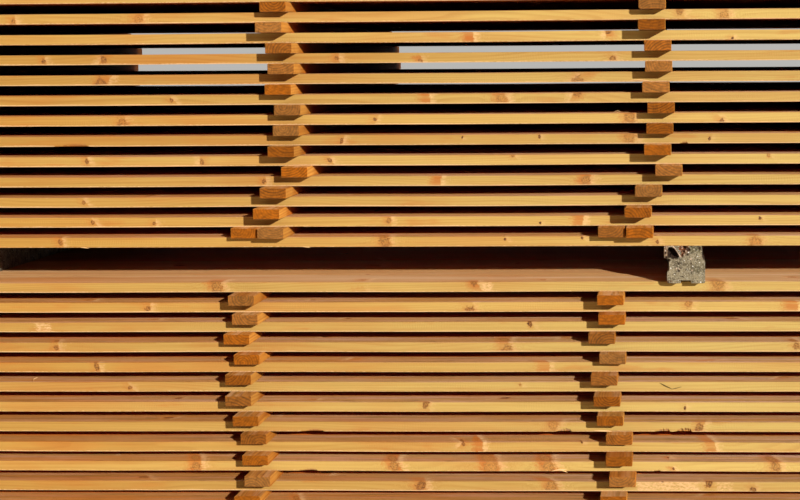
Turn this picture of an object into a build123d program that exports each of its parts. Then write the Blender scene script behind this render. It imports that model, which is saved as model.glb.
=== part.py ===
from build123d import *
import os

# Two packs of sawn boards stacked to dry, one on the other, in millimetres.
# X runs along the boards, -Y is the front long side and +Z is up.
# The origin is on the ground, at the middle of the stack.

# Boards
board_length = 4000
board_width = 200
board_thickness = 24
boards_per_layer = 10
board_gap = 3
layer_count = 20

# Sticks laid across the boards, between one layer and the next
stick_width = 64
stick_thickness = 25
stick_overhang = 66
stick_row_count = 5
stick_row_margin = 240
stick_pair_gap = 3
stick_pair_stagger = 18
pair_pack = "upper"
pair_layer = 1

# How far the upper pack stands forward, and how each pack's rows of sticks sit along it
pack_setback = 50
row_shift = {"lower": -60, "upper": 36}

# Bearers of moulded waste plastic, under each pack
bearer_height = 90
bearer_width = 98
bearer_end_reach = 25
bearer_count = 3
bearer_margin = 190
bearer_shift = 110
bearer_round = 4
shoulder_inset = 7
shoulder_height = 62
shoulder_slope = 10
foot_inset = 7
foot_height = 27
waist_inset = 12
waist_height = 61
waist_slope = 4
groove_width = 24
groove_depth = 7
groove_shift = 3

# The broken upper corner of the bearer in the middle, between the packs
broken_bearer = ("middle", 2)
hollow_rim = 7
hollow_roof = 5
hollow_width = 29
hollow_height = 25
hollow_lean = 11
hollow_toe = 5
hollow_depth = 38
hollow_taper = 12
ridge_width = 5
chip_width = 33
chip_height = 25
chip_depth = 13
chip_taper = 20

# How the stack was laid by hand: sticks along X for each layer, a list for every
# other row, and out of the front
wander = {
    "lower": [
        [-10, 14, -6, 9, -14, 4, 12, -4, -7, 23, 6, 16, -13, -18, -22, -8, -26, -10, -2],
        [-4, 8, -13, 15, -6, -9, 3, 6, -7, 13, 7, 4, -15, -24, -36, -5, -37, -12, -13],
    ],
    "upper": [
        [-64, -40, -7, 32, 16, 13, 18, 9, 10, 16, -7, 4, 6, -9, 14, -5, 3, -16, 8],
        [-71, -32, -24, 28, 1, 5, 17, -14, 7, -6, -26, -17, 11, -3, 9, -12, 7, -8, 2],
    ],
}
push = {
    "lower": [5, -9, 12, -4, 8, -12, 3, 10, -1, 9, -2, -19, 4, 9, -6, -18, -20, -3, 20],
    "upper": [-11, 17, 11, 5, 13, -10, -7, -5, 8, 4, 19, -11, 6, -8, 10, -3, 12, -9, 2],
}
row_wander = [3, -4, 1, 5, -2, -5, 4]
row_push = [-2, 4, 0, -4, 3, 5, -3]
end_stagger = [0, 9, -6, 12, -10, 4, -3, 7, -12, 2, -8]
front_stagger = {"lower": [0, 2, -2, 1, 3, -3, -1], "upper": [-1, 1, 3, 0, -2, 2, -3, 1]}

# Worked out from the sizes above
pack_width = boards_per_layer * board_width + (boards_per_layer - 1) * board_gap
layer_pitch = board_thickness + stick_thickness
pack_height = layer_count * layer_pitch - stick_thickness
pack_base = {"lower": bearer_height, "upper": 2 * bearer_height + pack_height}
pack_middle = {"lower": pack_setback / 2, "upper": -pack_setback / 2}
bearer_base = {"ground": 0, "middle": bearer_height + pack_height}
bearer_length = pack_width + bearer_end_reach
bearer_middle = {
    "ground": pack_middle["lower"],
    "middle": pack_middle["upper"] + bearer_end_reach / 2,
}
stick_length = pack_width + 2 * stick_overhang
stick_row_spacing = (board_length - 2 * stick_row_margin) / (stick_row_count - 1)
bearer_spacing = (board_length - 2 * bearer_margin) / (bearer_count - 1)


def centred(index, count):
    """Counts a row's places from its middle: -2, -1, 0, 1, 2 for a row of five."""
    return index - (count - 1) / 2


def picked(values, index):
    """The value at this place of a list that starts again at its end."""
    return values[index % len(values)]


def save(piece, name):
    """Labels a finished piece and writes it under the same name."""
    piece.part.label = name
    export_step(piece.part, f"parts/{name}.step")


def layer_of_boards(pack, layer):
    """One layer: boards side by side, each pushed a little off the next one's end."""
    base = pack_base[pack] + (layer - 1) * layer_pitch
    front = pack_middle[pack] + picked(front_stagger[pack], layer)
    with BuildPart() as boards:
        with BuildSketch(Plane.XY.offset(base)):
            for board in range(boards_per_layer):
                along = picked(end_stagger, 3 * board + 5 * layer)
                across = front + centred(board, boards_per_layer) * (board_width + board_gap)
                with Locations((along, across)):
                    Rectangle(board_length, board_width)
        extrude(amount=board_thickness)
    return boards


def stick_places(pack, row, layer):
    """The middle of each stick of this row on this layer: one, or a pair side by side."""
    along = centred(row, stick_row_count) * stick_row_spacing + row_shift[pack]
    along += picked(wander[pack], row)[layer - 1] + picked(row_wander, row + 2 * layer)
    out = -picked(push[pack], layer - 1) - picked(row_push, 2 * row + layer)
    height = pack_base[pack] + layer * layer_pitch - stick_thickness
    if (pack, layer) == (pair_pack, pair_layer):
        side = (stick_width + stick_pair_gap) / 2
        slide = stick_pair_stagger / 2
        return [(along - side, out + slide, height), (along + side, out - slide, height)]
    return [(along, out, height)]


def row_of_sticks(pack, row):
    """One row: the sticks that stand above each other, from the first layer to the last."""
    with BuildPart() as sticks:
        for layer in range(1, layer_count):
            for along, out, height in stick_places(pack, row, layer):
                with Locations((along, pack_middle[pack] + out, height)):
                    Box(stick_width, stick_length, stick_thickness,
                        align=(Align.CENTER, Align.CENTER, Align.MIN))
    return sticks


def broken_corner():
    """The hollow behind a thin rim in a bearer's upper corner, and the chip beside it."""
    left = -bearer_width / 2 + hollow_rim
    right = left + hollow_width
    top = bearer_height - hollow_roof
    bottom = top - hollow_height
    hollow = [
        (left, bottom),
        (left, top),
        (right - hollow_lean, top),
        (right, bottom + hollow_toe),
        (right - hollow_toe, bottom),
    ]
    ridge = right + ridge_width
    above = bearer_height + chip_depth
    chip = [
        (ridge - hollow_lean, above),
        (ridge, bearer_height - chip_height),
        (ridge - hollow_lean + chip_width, above),
    ]
    return [(hollow, hollow_depth, hollow_taper), (chip, chip_depth, chip_taper)]


def bearer(level, number):
    """A moulded bearer: shouldered on one side, waisted on the other, grooved below."""
    half = bearer_width / 2
    across = bearer_shift + centred(number - 1, bearer_count) * bearer_spacing
    front = bearer_middle[level] - bearer_length / 2
    end = Plane(origin=(across, front, bearer_base[level]), x_dir=(1, 0, 0), z_dir=(0, -1, 0))
    with BuildPart() as block:
        with BuildSketch(end):
            with BuildLine():
                Polyline(
                    (-half + foot_inset, 0),
                    (-half + foot_inset, foot_height),
                    (-half + waist_inset, foot_height + waist_slope),
                    (-half + waist_inset, waist_height - waist_slope),
                    (-half, waist_height),
                    (-half, bearer_height),
                    (half - shoulder_inset, bearer_height),
                    (half - shoulder_inset, shoulder_height),
                    (half, shoulder_height - shoulder_slope),
                    (half, 0),
                    close=True,
                )
            make_face()
            with Locations((groove_shift, 0)):
                Rectangle(groove_width, 2 * groove_depth, mode=Mode.SUBTRACT)
        extrude(amount=-bearer_length)
        lengthwise = block.edges().filter_by(Axis.Y)
        corners = lengthwise.group_by(Axis.X)[0] + lengthwise.group_by(Axis.X)[-1]
        fillet(corners, radius=bearer_round)
        if (level, number) == broken_bearer:
            for outline, depth, taper in broken_corner():
                with BuildSketch(end):
                    with BuildLine():
                        Polyline(*outline, close=True)
                    make_face()
                extrude(amount=-depth, taper=taper, mode=Mode.SUBTRACT)
    return block


os.makedirs("parts", exist_ok=True)

for pack in ("lower", "upper"):
    for layer in range(1, layer_count + 1):
        save(layer_of_boards(pack, layer), f"{pack}_boards_{layer:02d}")
    for row in range(stick_row_count):
        save(row_of_sticks(pack, row), f"{pack}_sticks_row_{row + 1}")

for level in ("ground", "middle"):
    for number in range(1, bearer_count + 1):
        save(bearer(level, number), f"{level}_bearer_{number}")
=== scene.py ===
"""Two packs of sawn boards in stick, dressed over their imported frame.

Lengths are in metres. X runs along the boards, -Y is the front long side and
Z is up. Every board, stick and bearer is a closed surface of its own, laid in
the block of space that the frame gives it.
"""

import logging
import math
from dataclasses import dataclass, field
from enum import Enum
from itertools import product

import bpy
import numpy as np
from mathutils import Matrix, Vector


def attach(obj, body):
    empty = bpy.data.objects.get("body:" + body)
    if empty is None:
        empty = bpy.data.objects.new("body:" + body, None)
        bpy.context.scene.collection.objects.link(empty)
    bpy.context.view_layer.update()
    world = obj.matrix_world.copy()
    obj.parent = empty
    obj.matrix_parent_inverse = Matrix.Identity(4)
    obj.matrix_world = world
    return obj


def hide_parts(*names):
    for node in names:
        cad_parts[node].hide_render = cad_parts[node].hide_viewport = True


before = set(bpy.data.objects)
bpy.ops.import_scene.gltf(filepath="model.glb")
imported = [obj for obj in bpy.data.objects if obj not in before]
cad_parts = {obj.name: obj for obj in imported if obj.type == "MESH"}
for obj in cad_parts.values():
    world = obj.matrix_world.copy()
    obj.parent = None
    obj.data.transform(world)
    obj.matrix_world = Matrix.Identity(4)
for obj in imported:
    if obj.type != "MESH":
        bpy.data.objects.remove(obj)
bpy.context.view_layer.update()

log = logging.getLogger("stack")
MM = 0.001
ALONG, ACROSS, UP = 0, 1, 2
LAYERS = 20
STICK_ROWS = 5


class Pack(Enum):
    """One of the two packs."""

    LOWER = "lower"
    UPPER = "upper"


class Place(Enum):
    """Where a board lies in its layer, which says how finely it is worked."""

    FRONT = "front"
    BACK = "back"
    OPEN_TOP = "open top"
    INSIDE = "inside"


# Finishes


def paint(code: str) -> tuple[float, float, float, float]:
    """The linear colour a shader takes for an sRGB one.

    Args:
        code: Six hexadecimal digits.

    Returns:
        Red, green, blue and an alpha of one.
    """
    part = [int(code[i:i + 2], 16) / 255 for i in (0, 2, 4)]
    part = [c / 12.92 if c <= 0.04045 else ((c + 0.055) / 1.055) ** 2.4 for c in part]
    return (*part, 1.0)


@dataclass(frozen=True)
class WoodFinish:
    """The colours and figure of one kind of sawn softwood."""

    name: str
    pale: str
    deep: str
    face_pale: str
    face_deep: str
    open_pale: str
    open_deep: str
    # The next colour is fresh wood pushed to a strong orange and painted into the shade deep in the
    # pack: a painted glow of bounce light.
    covered_shade_glow: str
    rosy: str
    olive: str
    end_pale: str
    end_deep: str
    resin: str
    fuzz: str
    grime: str
    ring_spacing: float
    ring_strength: float
    end_strength: float
    along: tuple[float, float, float]
    roughness: tuple[float, float] = (0.55, 0.82)
    bump: float = 0.5
    gloss: float = 0.28
    matt: float = 0.9

    # Colours that both kinds of wood share
    mark: str = "6e4520"
    gold: str = "e9cfab"
    heart: str = "dc9a46"
    dead_heart: str = "74401c"
    heart_ring: str = "98521f"
    bark: str = "a8561c"
    dead_bark: str = "4a220c"
    crack: str = "2a150a"

    # How much of each effect shows
    broad_share: float = 0.32
    edge_share: float = 0.8
    rosy_share: float = 0.72
    olive_share: float = 0.58
    mark_share: float = 0.55
    grime_share: float = 0.6
    end_grime_share: float = 0.55
    resin_share: float = 0.9
    blush_share: float = 0.34
    stain_share: float = 0.80
    pale_share: float = 0.60
    heart_share: float = 0.6
    torn_share: float = 0.8
    crack_share: float = 0.8

    # How much of each effect stands out, as shares of BUMP_DISTANCE
    fibre_height: float = 0.8
    saw_height: float = 0.22
    ring_height: float = 0.0
    knot_height: float = 0.0


@dataclass(frozen=True)
class MouldedFinish:
    """The colours of a bearer cast from mixed waste plastic."""

    name: str = "moulded_waste_plastic"
    body: str = "a59679"
    dark: str = "584c38"
    pale: str = "c6ba9f"
    fleck: str = "f4f0e6"
    pit: str = "231c12"
    hollow: str = "3a1d10"
    # A near black brown put on the hollow, the pits and the ledge of the broken corner: painted shade
    # over the broken material.
    rim: str = "e8cab0"
    chip: str = "96501f"
    olive: str = "7d7757"
    roughness: float = 0.72
    gloss: float = 0.35
    bump: float = 0.8


BOARD_WOOD = WoodFinish(
    name="sawn_softwood_boards",
    pale="e6cc7a", deep="c69440", face_pale="d2a163", face_deep="9f6932",
    open_pale="dcae74", open_deep="b37a42", covered_shade_glow="fb8a3e",
    rosy="d6aa92", olive="8f6d2c",
    end_pale="cf9e60", end_deep="8e6134", resin="cf6f1c", fuzz="ffd9a2",
    grime="e3c49c", ring_spacing=0.0031, ring_strength=0.40, end_strength=0.75,
    along=(1.0, 0.0, 0.0),
)
STICK_WOOD = WoodFinish(
    name="seasoned_sticks",
    pale="dfa04a", deep="a9601f", face_pale="c98a44", face_deep="8a4f20",
    open_pale="c98a44", open_deep="8a4f20", covered_shade_glow="f08436",
    rosy="cf9f74", olive="8a6026",
    end_pale="b4660f", end_deep="431802", resin="9c3f0c", fuzz="e9c188",
    grime="bd8a4a", ring_spacing=0.0062, ring_strength=0.6, end_strength=1.05,
    along=(0.0, 1.0, 0.0), gloss=0.12, ring_height=0.35, knot_height=0.5,
)


@dataclass(frozen=True)
class Streaks:
    """Noise drawn out along the trunk.

    Along and across are its coarsest waves to a metre. Detail, roughness and
    unseen are its octaves, as Wiring.noise takes them. Fade is where it sets in.
    """

    along: float
    across: float
    detail: int = 3
    roughness: float = 0.6
    unseen: int = 0
    fade: tuple[float, float] | None = None


# Fibres, broad bands, patches and resin, stains, grey bloom and torn fuzz
FINE = Streaks(12.0, 900.0, unseen=2)
BROAD = Streaks(1.6, 130.0, roughness=0.55, unseen=1)
PATCH = Streaks(2.6, 15.0)
RESIN = Streaks(6.0, 34.0, fade=(0.60, 0.74))
ROSY = Streaks(2.2, 40.0, 4, 0.65, unseen=1, fade=(0.47, 0.60))
OLIVE = Streaks(3.2, 70.0, 4, 0.70, unseen=2, fade=(0.50, 0.62))
MARKS = Streaks(14.0, 110.0, unseen=1, fade=(0.60, 0.68))
BLOOM = Streaks(1.1, 14.0, 4, 0.62, unseen=1, fade=(0.40, 0.74))
FUZZ = Streaks(160.0, 520.0, roughness=0.7, unseen=1)
WHITE = (1.0, 1.0, 1.0, 1.0)
BUMP_DISTANCE = 1.2 * MM


# Shader wiring


class Wiring:
    """Adds nodes to one tree and wires them, so that a shader reads as sums."""

    def __init__(self, tree: bpy.types.NodeTree) -> None:
        """Works on this node tree."""
        self.tree = tree

    def put(self, value: object, socket: bpy.types.NodeSocket) -> None:
        """Links a socket to this one, or sets a plain value on it."""
        if isinstance(value, bpy.types.NodeSocket):
            self.tree.links.new(value, socket)
        else:
            socket.default_value = value

    def add(self, kind: str, inputs: dict | None = None, **settings: object) -> bpy.types.Node:
        """Adds a node.

        Args:
            kind: The node's type name.
            inputs: What goes into its sockets, by name.
            settings: Its own settings.

        Returns:
            The node.
        """
        node = self.tree.nodes.new(kind)
        for name, value in settings.items():
            setattr(node, name, value)
        for name, value in (inputs or {}).items():
            self.put(value, node.inputs[name])
        return node

    def number(self, operation: str, *values: object,
               clamp: bool = False) -> bpy.types.NodeSocket:
        """One step of arithmetic on single numbers."""
        node = self.add("ShaderNodeMath", operation=operation, use_clamp=clamp)
        for value, socket in zip(values, node.inputs):
            self.put(value, socket)
        return node.outputs[0]

    def plus(self, first: object, second: object, clamp: bool = False) -> bpy.types.NodeSocket:
        """A sum."""
        return self.number("ADD", first, second, clamp=clamp)

    def minus(self, first: object, second: object) -> bpy.types.NodeSocket:
        """A difference."""
        return self.number("SUBTRACT", first, second)

    def times(self, first: object, second: object, clamp: bool = False) -> bpy.types.NodeSocket:
        """A product."""
        return self.number("MULTIPLY", first, second, clamp=clamp)

    def over(self, first: object, second: object) -> bpy.types.NodeSocket:
        """A quotient."""
        return self.number("DIVIDE", first, second)

    def vector(self, operation: str, *values: object) -> bpy.types.Node:
        """One step of arithmetic on vectors, as its node."""
        node = self.add("ShaderNodeVectorMath", operation=operation)
        for value, socket in zip(values, node.inputs):
            self.put(value, socket)
        return node

    def stretched(self, value: object, x: float, y: float, z: float) -> bpy.types.NodeSocket:
        """A vector with each part multiplied by its own number."""
        return self.vector("MULTIPLY", value, (x, y, z)).outputs[0]

    def fade(self, value: object, start: float, end: float) -> bpy.types.NodeSocket:
        """A smooth step from zero at start to one at end, whichever is the lower."""
        node = self.add("ShaderNodeMapRange", interpolation_type="SMOOTHSTEP")
        for name, number in (("Value", value), ("From Min", start), ("From Max", end)):
            self.put(number, node.inputs[name])
        return node.outputs[0]

    def between(self, value: object, low: float, high: float) -> bpy.types.NodeSocket:
        """A number from zero to one carried to the range from low to high."""
        node = self.add("ShaderNodeMapRange")
        for name, number in (("Value", value), ("To Min", low), ("To Max", high)):
            self.put(number, node.inputs[name])
        return node.outputs[0]

    def noise(self, vector: object, scale: float = 1.0, detail: int = 2,
              roughness: float = 0.5, unseen: int = 0) -> bpy.types.NodeSocket:
        """Smooth noise around a half.

        Args:
            vector: Where it is read.
            scale: Its coarsest waves to a metre.
            detail: How many finer octaves it has.
            roughness: How strong each octave is beside the one before.
            unseen: How many of the finest are left out, because a picture doesn't
                show them. The others keep their strength.

        Returns:
            The noise.
        """
        seen = detail - unseen
        noise = self.add("ShaderNodeTexNoise", {
            "Vector": vector, "Scale": scale, "Detail": seen, "Roughness": roughness}).outputs["Fac"]
        if not unseen:
            return noise
        share = (1 - roughness ** (seen + 1)) / (1 - roughness ** (detail + 1))
        return self.number("MULTIPLY_ADD", noise, share, 0.5 - 0.5 * share)

    def streaks(self, place: object, kind: Streaks) -> bpy.types.NodeSocket:
        """Noise drawn out along the trunk, faded in where its kind says so."""
        drawn = self.stretched(place, kind.along, kind.across, kind.across)
        noise = self.noise(drawn, 1.0, kind.detail, kind.roughness, kind.unseen)
        return self.fade(noise, *kind.fade) if kind.fade else noise

    def mix(self, factor: object, first: object, second: object,
            blend: str = "MIX") -> bpy.types.NodeSocket:
        """A mix of two colours."""
        node = self.add("ShaderNodeMix", data_type="RGBA", blend_type=blend)
        for value, index in ((factor, 0), (first, 6), (second, 7)):
            self.put(value, node.inputs[index])
        return node.outputs[2]

    def scaled(self, colour: object, factor: object) -> bpy.types.NodeSocket:
        """A colour made lighter or darker by a number."""
        node = self.add("ShaderNodeVectorMath", operation="SCALE")
        self.put(colour, node.inputs[0])
        self.put(factor, node.inputs["Scale"])
        return node.outputs[0]

    def attribute(self, name: str) -> bpy.types.Node:
        """The node that reads one of the mesh's own attributes."""
        return self.add("ShaderNodeAttribute", attribute_name=name)

    def parts(self, vector: object) -> tuple[bpy.types.NodeSocket, ...]:
        """The three numbers of a vector."""
        return tuple(self.add("ShaderNodeSeparateXYZ", {"Vector": vector}).outputs)


class Effect:
    """A node group that more than one finish uses, built once."""

    name: str = ""
    takes: dict[str, float | tuple[float, float, float]] = {}
    gives: tuple[str, ...] = ()

    def __init__(self) -> None:
        """Makes the group with its named inputs and outputs."""
        self.tree = bpy.data.node_groups.new(self.name, "ShaderNodeTree")
        for label, start in self.takes.items():
            kind = "NodeSocketVector" if isinstance(start, tuple) else "NodeSocketFloat"
            socket = self.tree.interface.new_socket(label, in_out="INPUT", socket_type=kind)
            socket.default_value = start
        for label in self.gives:
            self.tree.interface.new_socket(label, in_out="OUTPUT", socket_type="NodeSocketFloat")
        wiring = Wiring(self.tree)
        entry = wiring.add("NodeGroupInput").outputs
        results = self.wire(wiring, entry)
        wiring.add("NodeGroupOutput", dict(zip(self.gives, results)))

    def wire(self, w: Wiring, entry: bpy.types.NodeOutputs) -> tuple:
        """Wires the inside and returns the outputs in order."""
        raise NotImplementedError

    def place(self, wiring: Wiring, **values: object) -> bpy.types.NodeOutputs:
        """Puts the group in a material with its own values, and returns its outputs."""
        return wiring.add("ShaderNodeGroup", values, node_tree=self.tree).outputs


class GrowthRings(Effect):
    """Rings round the pith: distance from it, plus taper, drift and the swell at knots.

    The radius over the ring spacing gives a year and a place in that year.
    The wood darkens slowly through the year and turns pale at once at its end.
    """

    name = "growth_rings"
    takes = {"Log": (0.0, 0.0, 0.0), "Swell": 0.0, "Spacing": 0.003}
    gives = ("Late",)

    def wire(self, w: Wiring, entry: bpy.types.NodeOutputs) -> tuple:
        """Wires the rings."""
        x, y, z = w.parts(entry["Log"])
        radius = w.number("SQRT", w.plus(w.times(y, y), w.times(z, z)))
        drift = w.noise(w.stretched(entry["Log"], 1.3, 9.0, 9.0))
        drift = w.times(w.minus(drift, 0.5), 0.030)
        radius = w.plus(w.plus(radius, drift), w.times(x, 0.004))
        radius = w.plus(radius, entry["Swell"])
        years = w.over(radius, entry["Spacing"])
        season = w.number("FRACT", years)
        year = w.add("ShaderNodeTexWhiteNoise", {"W": w.number("FLOOR", years)},
                     noise_dimensions="1D").outputs["Value"]
        late = w.times(w.fade(season, 0.30, 0.90), w.fade(season, 1.0, 0.93))
        return (w.times(late, w.between(year, 0.45, 1.0)),)


class KnotFigure(Effect):
    """A branch cut through: its core and rim, and the stained and pale wood round it.

    The distance from the branch's axis over its radius is one at the rim. The
    branch starts at the pith, so nothing shows on the pith's other side. The
    stain grows towards the branch on one side and stops short on the other,
    where the wood is pale; the third part of Kind says which side, and how much.
    A tint below zero leaves the stain of a branch that stays under the surface.
    """

    name = "knot_figure"
    takes = {"Knot": (9.0, 9.0, 0.0), "Kind": (0.01, 0.0, 0.0)}
    gives = ("Core", "Rim", "Stain", "Pale", "Swell", "Rings", "Tint", "Dead")

    def wire(self, w: Wiring, entry: bpy.types.NodeOutputs) -> tuple:
        """Wires the knot."""
        u, v, depth = w.parts(entry["Knot"])
        radius, tint, smear = w.parts(entry["Kind"])
        shifted = w.vector("ADD", entry["Knot"], entry["Kind"]).outputs[0]
        wobble = w.plus(w.times(w.noise(shifted, 150.0, 4, 0.75, unseen=2), 2.4), -0.10)
        u_share, v_share = (w.times(w.over(part, radius), wobble) for part in (u, v))
        square_u, square_v = (w.times(share, share) for share in (u_share, v_share))
        far = w.number("SQRT", w.plus(square_u, square_v))
        there = w.fade(depth, 0.0, 0.006)
        surfaced = w.fade(tint, -0.6, -0.2)
        solid = w.times(surfaced, there)
        core = w.times(w.fade(far, 1.00, 0.70), solid)
        rim = w.times(w.times(w.fade(far, 0.50, 0.80), w.fade(far, 1.18, 0.88)), solid)
        own = w.noise(w.stretched(entry["Kind"], 900.0, 31.0, 17.0), 1.0, 0)
        slant = w.times(v_share, w.between(own, -1.5, 1.9))
        lean = w.plus(w.times(u_share, w.number("SIGN", smear)), slant)
        near = w.times(w.fade(w.number("ABSOLUTE", v_share), 3.4, 1.2), there)
        strength = w.number("ABSOLUTE", smear)
        spread = w.over(0.020, radius)
        one_side = w.times(w.fade(lean, w.minus(-1.2, spread), -0.7), w.fade(lean, 1.25, 0.85))
        clear = w.times(w.fade(tint, 0.35, 0.15), surfaced)
        outside = w.fade(far, 0.80, 1.02)
        one_side = w.times(one_side, w.number("MAXIMUM", outside, w.minus(1.0, clear)))
        ring = w.times(w.fade(far, 2.2, 0.8), solid)
        stain = w.number("MAXIMUM", w.times(one_side, w.times(strength, near)),
                         w.times(ring, 0.45))
        ragged = w.noise(w.stretched(shifted, 60.0, 260.0, 60.0), unseen=1)
        pale = w.times(w.fade(lean, 0.8, 1.5), w.fade(lean, w.plus(1.5, spread), 1.2))
        pale = w.times(w.times(pale, near), w.fade(ragged, 0.25, 0.62))
        pale = w.times(pale, w.between(strength, 0.35, 1.1))
        swell = w.number("EXPONENT", w.times(w.plus(w.times(square_u, 0.3), square_v), -0.5))
        swell = w.times(w.times(swell, radius), w.times(there, 0.55))
        rings = w.fade(w.number("FRACT", w.times(far, 2.7)), 0.2, 0.95)
        blots = w.fade(w.noise(shifted, 290.0, unseen=1), 0.50, 0.58)
        dead = w.times(w.times(w.fade(far, 1.2, 0.7), solid), blots)
        return core, rim, stain, pale, swell, rings, tint, dead


class FibreStreaks(Effect):
    """Noise drawn out along the trunk: fine fibres, broad streaks and patches of stain."""

    name = "fibre_streaks"
    takes = {"Log": (0.0, 0.0, 0.0)}
    gives = ("Fine", "Broad", "Patch", "Resin")

    def wire(self, w: Wiring, entry: bpy.types.NodeOutputs) -> tuple:
        """Wires the streaks."""
        return tuple(w.streaks(entry["Log"], kind) for kind in (FINE, BROAD, PATCH, RESIN))


class SawMarks(Effect):
    """The ripple a saw blade leaves: a wave along the board, bent and broken by noise."""

    name = "saw_marks"
    takes = {"Log": (0.0, 0.0, 0.0), "Pitch": 0.006}
    gives = ("Height",)

    def wire(self, w: Wiring, entry: bpy.types.NodeOutputs) -> tuple:
        """Wires the ripple."""
        x, y, _ = w.parts(entry["Log"])
        bend = w.noise(entry["Log"], 20.0, unseen=1)
        turns = w.over(w.plus(x, w.times(y, 0.12)), entry["Pitch"])
        turns = w.plus(turns, w.times(bend, 3.0))
        wave = w.number("SINE", w.times(turns, math.tau))
        loud = w.fade(w.noise(w.stretched(entry["Log"], 5.0, 9.0, 9.0), 1.0, 1), 0.42, 0.70)
        return (w.times(wave, loud),)


class DryingChecks(Effect):
    """Cracks that run out from the pith on an end: noise read by the angle round the pith."""

    name = "drying_checks"
    takes = {"Log": (0.0, 0.0, 0.0)}
    gives = ("Crack",)

    def wire(self, w: Wiring, entry: bpy.types.NodeOutputs) -> tuple:
        """Wires the cracks."""
        x, y, z = w.parts(entry["Log"])
        angle = w.number("ARCTAN2", z, y)
        turn = w.add("ShaderNodeCombineXYZ", {"X": w.times(angle, 9.0)}).outputs[0]
        where = w.vector("ADD", turn, w.stretched(entry["Log"], 0.3, 4.0, 4.0)).outputs[0]
        split = w.number("ABSOLUTE", w.minus(w.noise(where, 1.0, 3, 0.6), 0.5))
        gate = w.fade(w.noise(w.stretched(entry["Log"], 0.7, 40.0, 40.0)), 0.5, 0.62)
        return (w.times(w.fade(split, 0.012, 0.002), gate),)


class Grime(Effect):
    """Weather and dirt: bloom in large soft patches, fine specks, small pits and bright flecks."""

    name = "grime_and_specks"
    takes = {"Place": (0.0, 0.0, 0.0), "Speck": 260.0}
    gives = ("Bloom", "Specks", "Pits", "Flecks")

    def wire(self, w: Wiring, entry: bpy.types.NodeOutputs) -> tuple:
        """Wires the dirt."""
        bloom = w.noise(entry["Place"], 3.0, 4, 0.62)
        cells = w.add("ShaderNodeTexVoronoi", {
            "Vector": entry["Place"], "Scale": entry["Speck"], "Randomness": 1.0})
        pick = w.parts(cells.outputs["Color"])
        specks = w.times(w.fade(cells.outputs["Distance"], 0.42, 0.12),
                       w.fade(pick[0], 0.80, 0.90))
        pits = w.times(w.fade(cells.outputs["Distance"], 0.50, 0.20),
                     w.fade(pick[1], 0.74, 0.86))
        flecks = w.times(w.fade(cells.outputs["Distance"], 0.48, 0.28),
                       w.fade(pick[2], 0.945, 0.96))
        return w.fade(bloom, 0.42, 0.72), specks, pits, flecks


class SideMasks(Effect):
    """Which side of the sawn piece this is, from its normal: an end, a wide face or an edge."""

    name = "side_masks"
    takes = {"Normal": (0.0, 0.0, 1.0), "Along": (1.0, 0.0, 0.0)}
    gives = ("End", "Wide")

    def wire(self, w: Wiring, entry: bpy.types.NodeOutputs) -> tuple:
        """Wires the masks."""
        along = w.vector("DOT_PRODUCT", entry["Normal"], entry["Along"]).outputs["Value"]
        end = w.fade(w.number("ABSOLUTE", along), 0.55, 0.85)
        upward = w.number("ABSOLUTE", w.parts(entry["Normal"])[2])
        return end, w.fade(upward, 0.5, 0.9)


@dataclass
class Effects:
    """Every shared effect, ready to be placed."""

    rings: GrowthRings = field(default_factory=GrowthRings)
    knots: KnotFigure = field(default_factory=KnotFigure)
    fibres: FibreStreaks = field(default_factory=FibreStreaks)
    saw: SawMarks = field(default_factory=SawMarks)
    checks: DryingChecks = field(default_factory=DryingChecks)
    grime: Grime = field(default_factory=Grime)
    sides: SideMasks = field(default_factory=SideMasks)


def new_material(name: str) -> tuple[bpy.types.Material, Wiring, bpy.types.Node]:
    """Starts a material.

    Returns:
        The material, its wiring and its Principled shader.
    """
    material = bpy.data.materials.new(name)
    material.use_nodes = True
    shader = material.node_tree.nodes["Principled BSDF"]
    return material, Wiring(material.node_tree), shader


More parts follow.
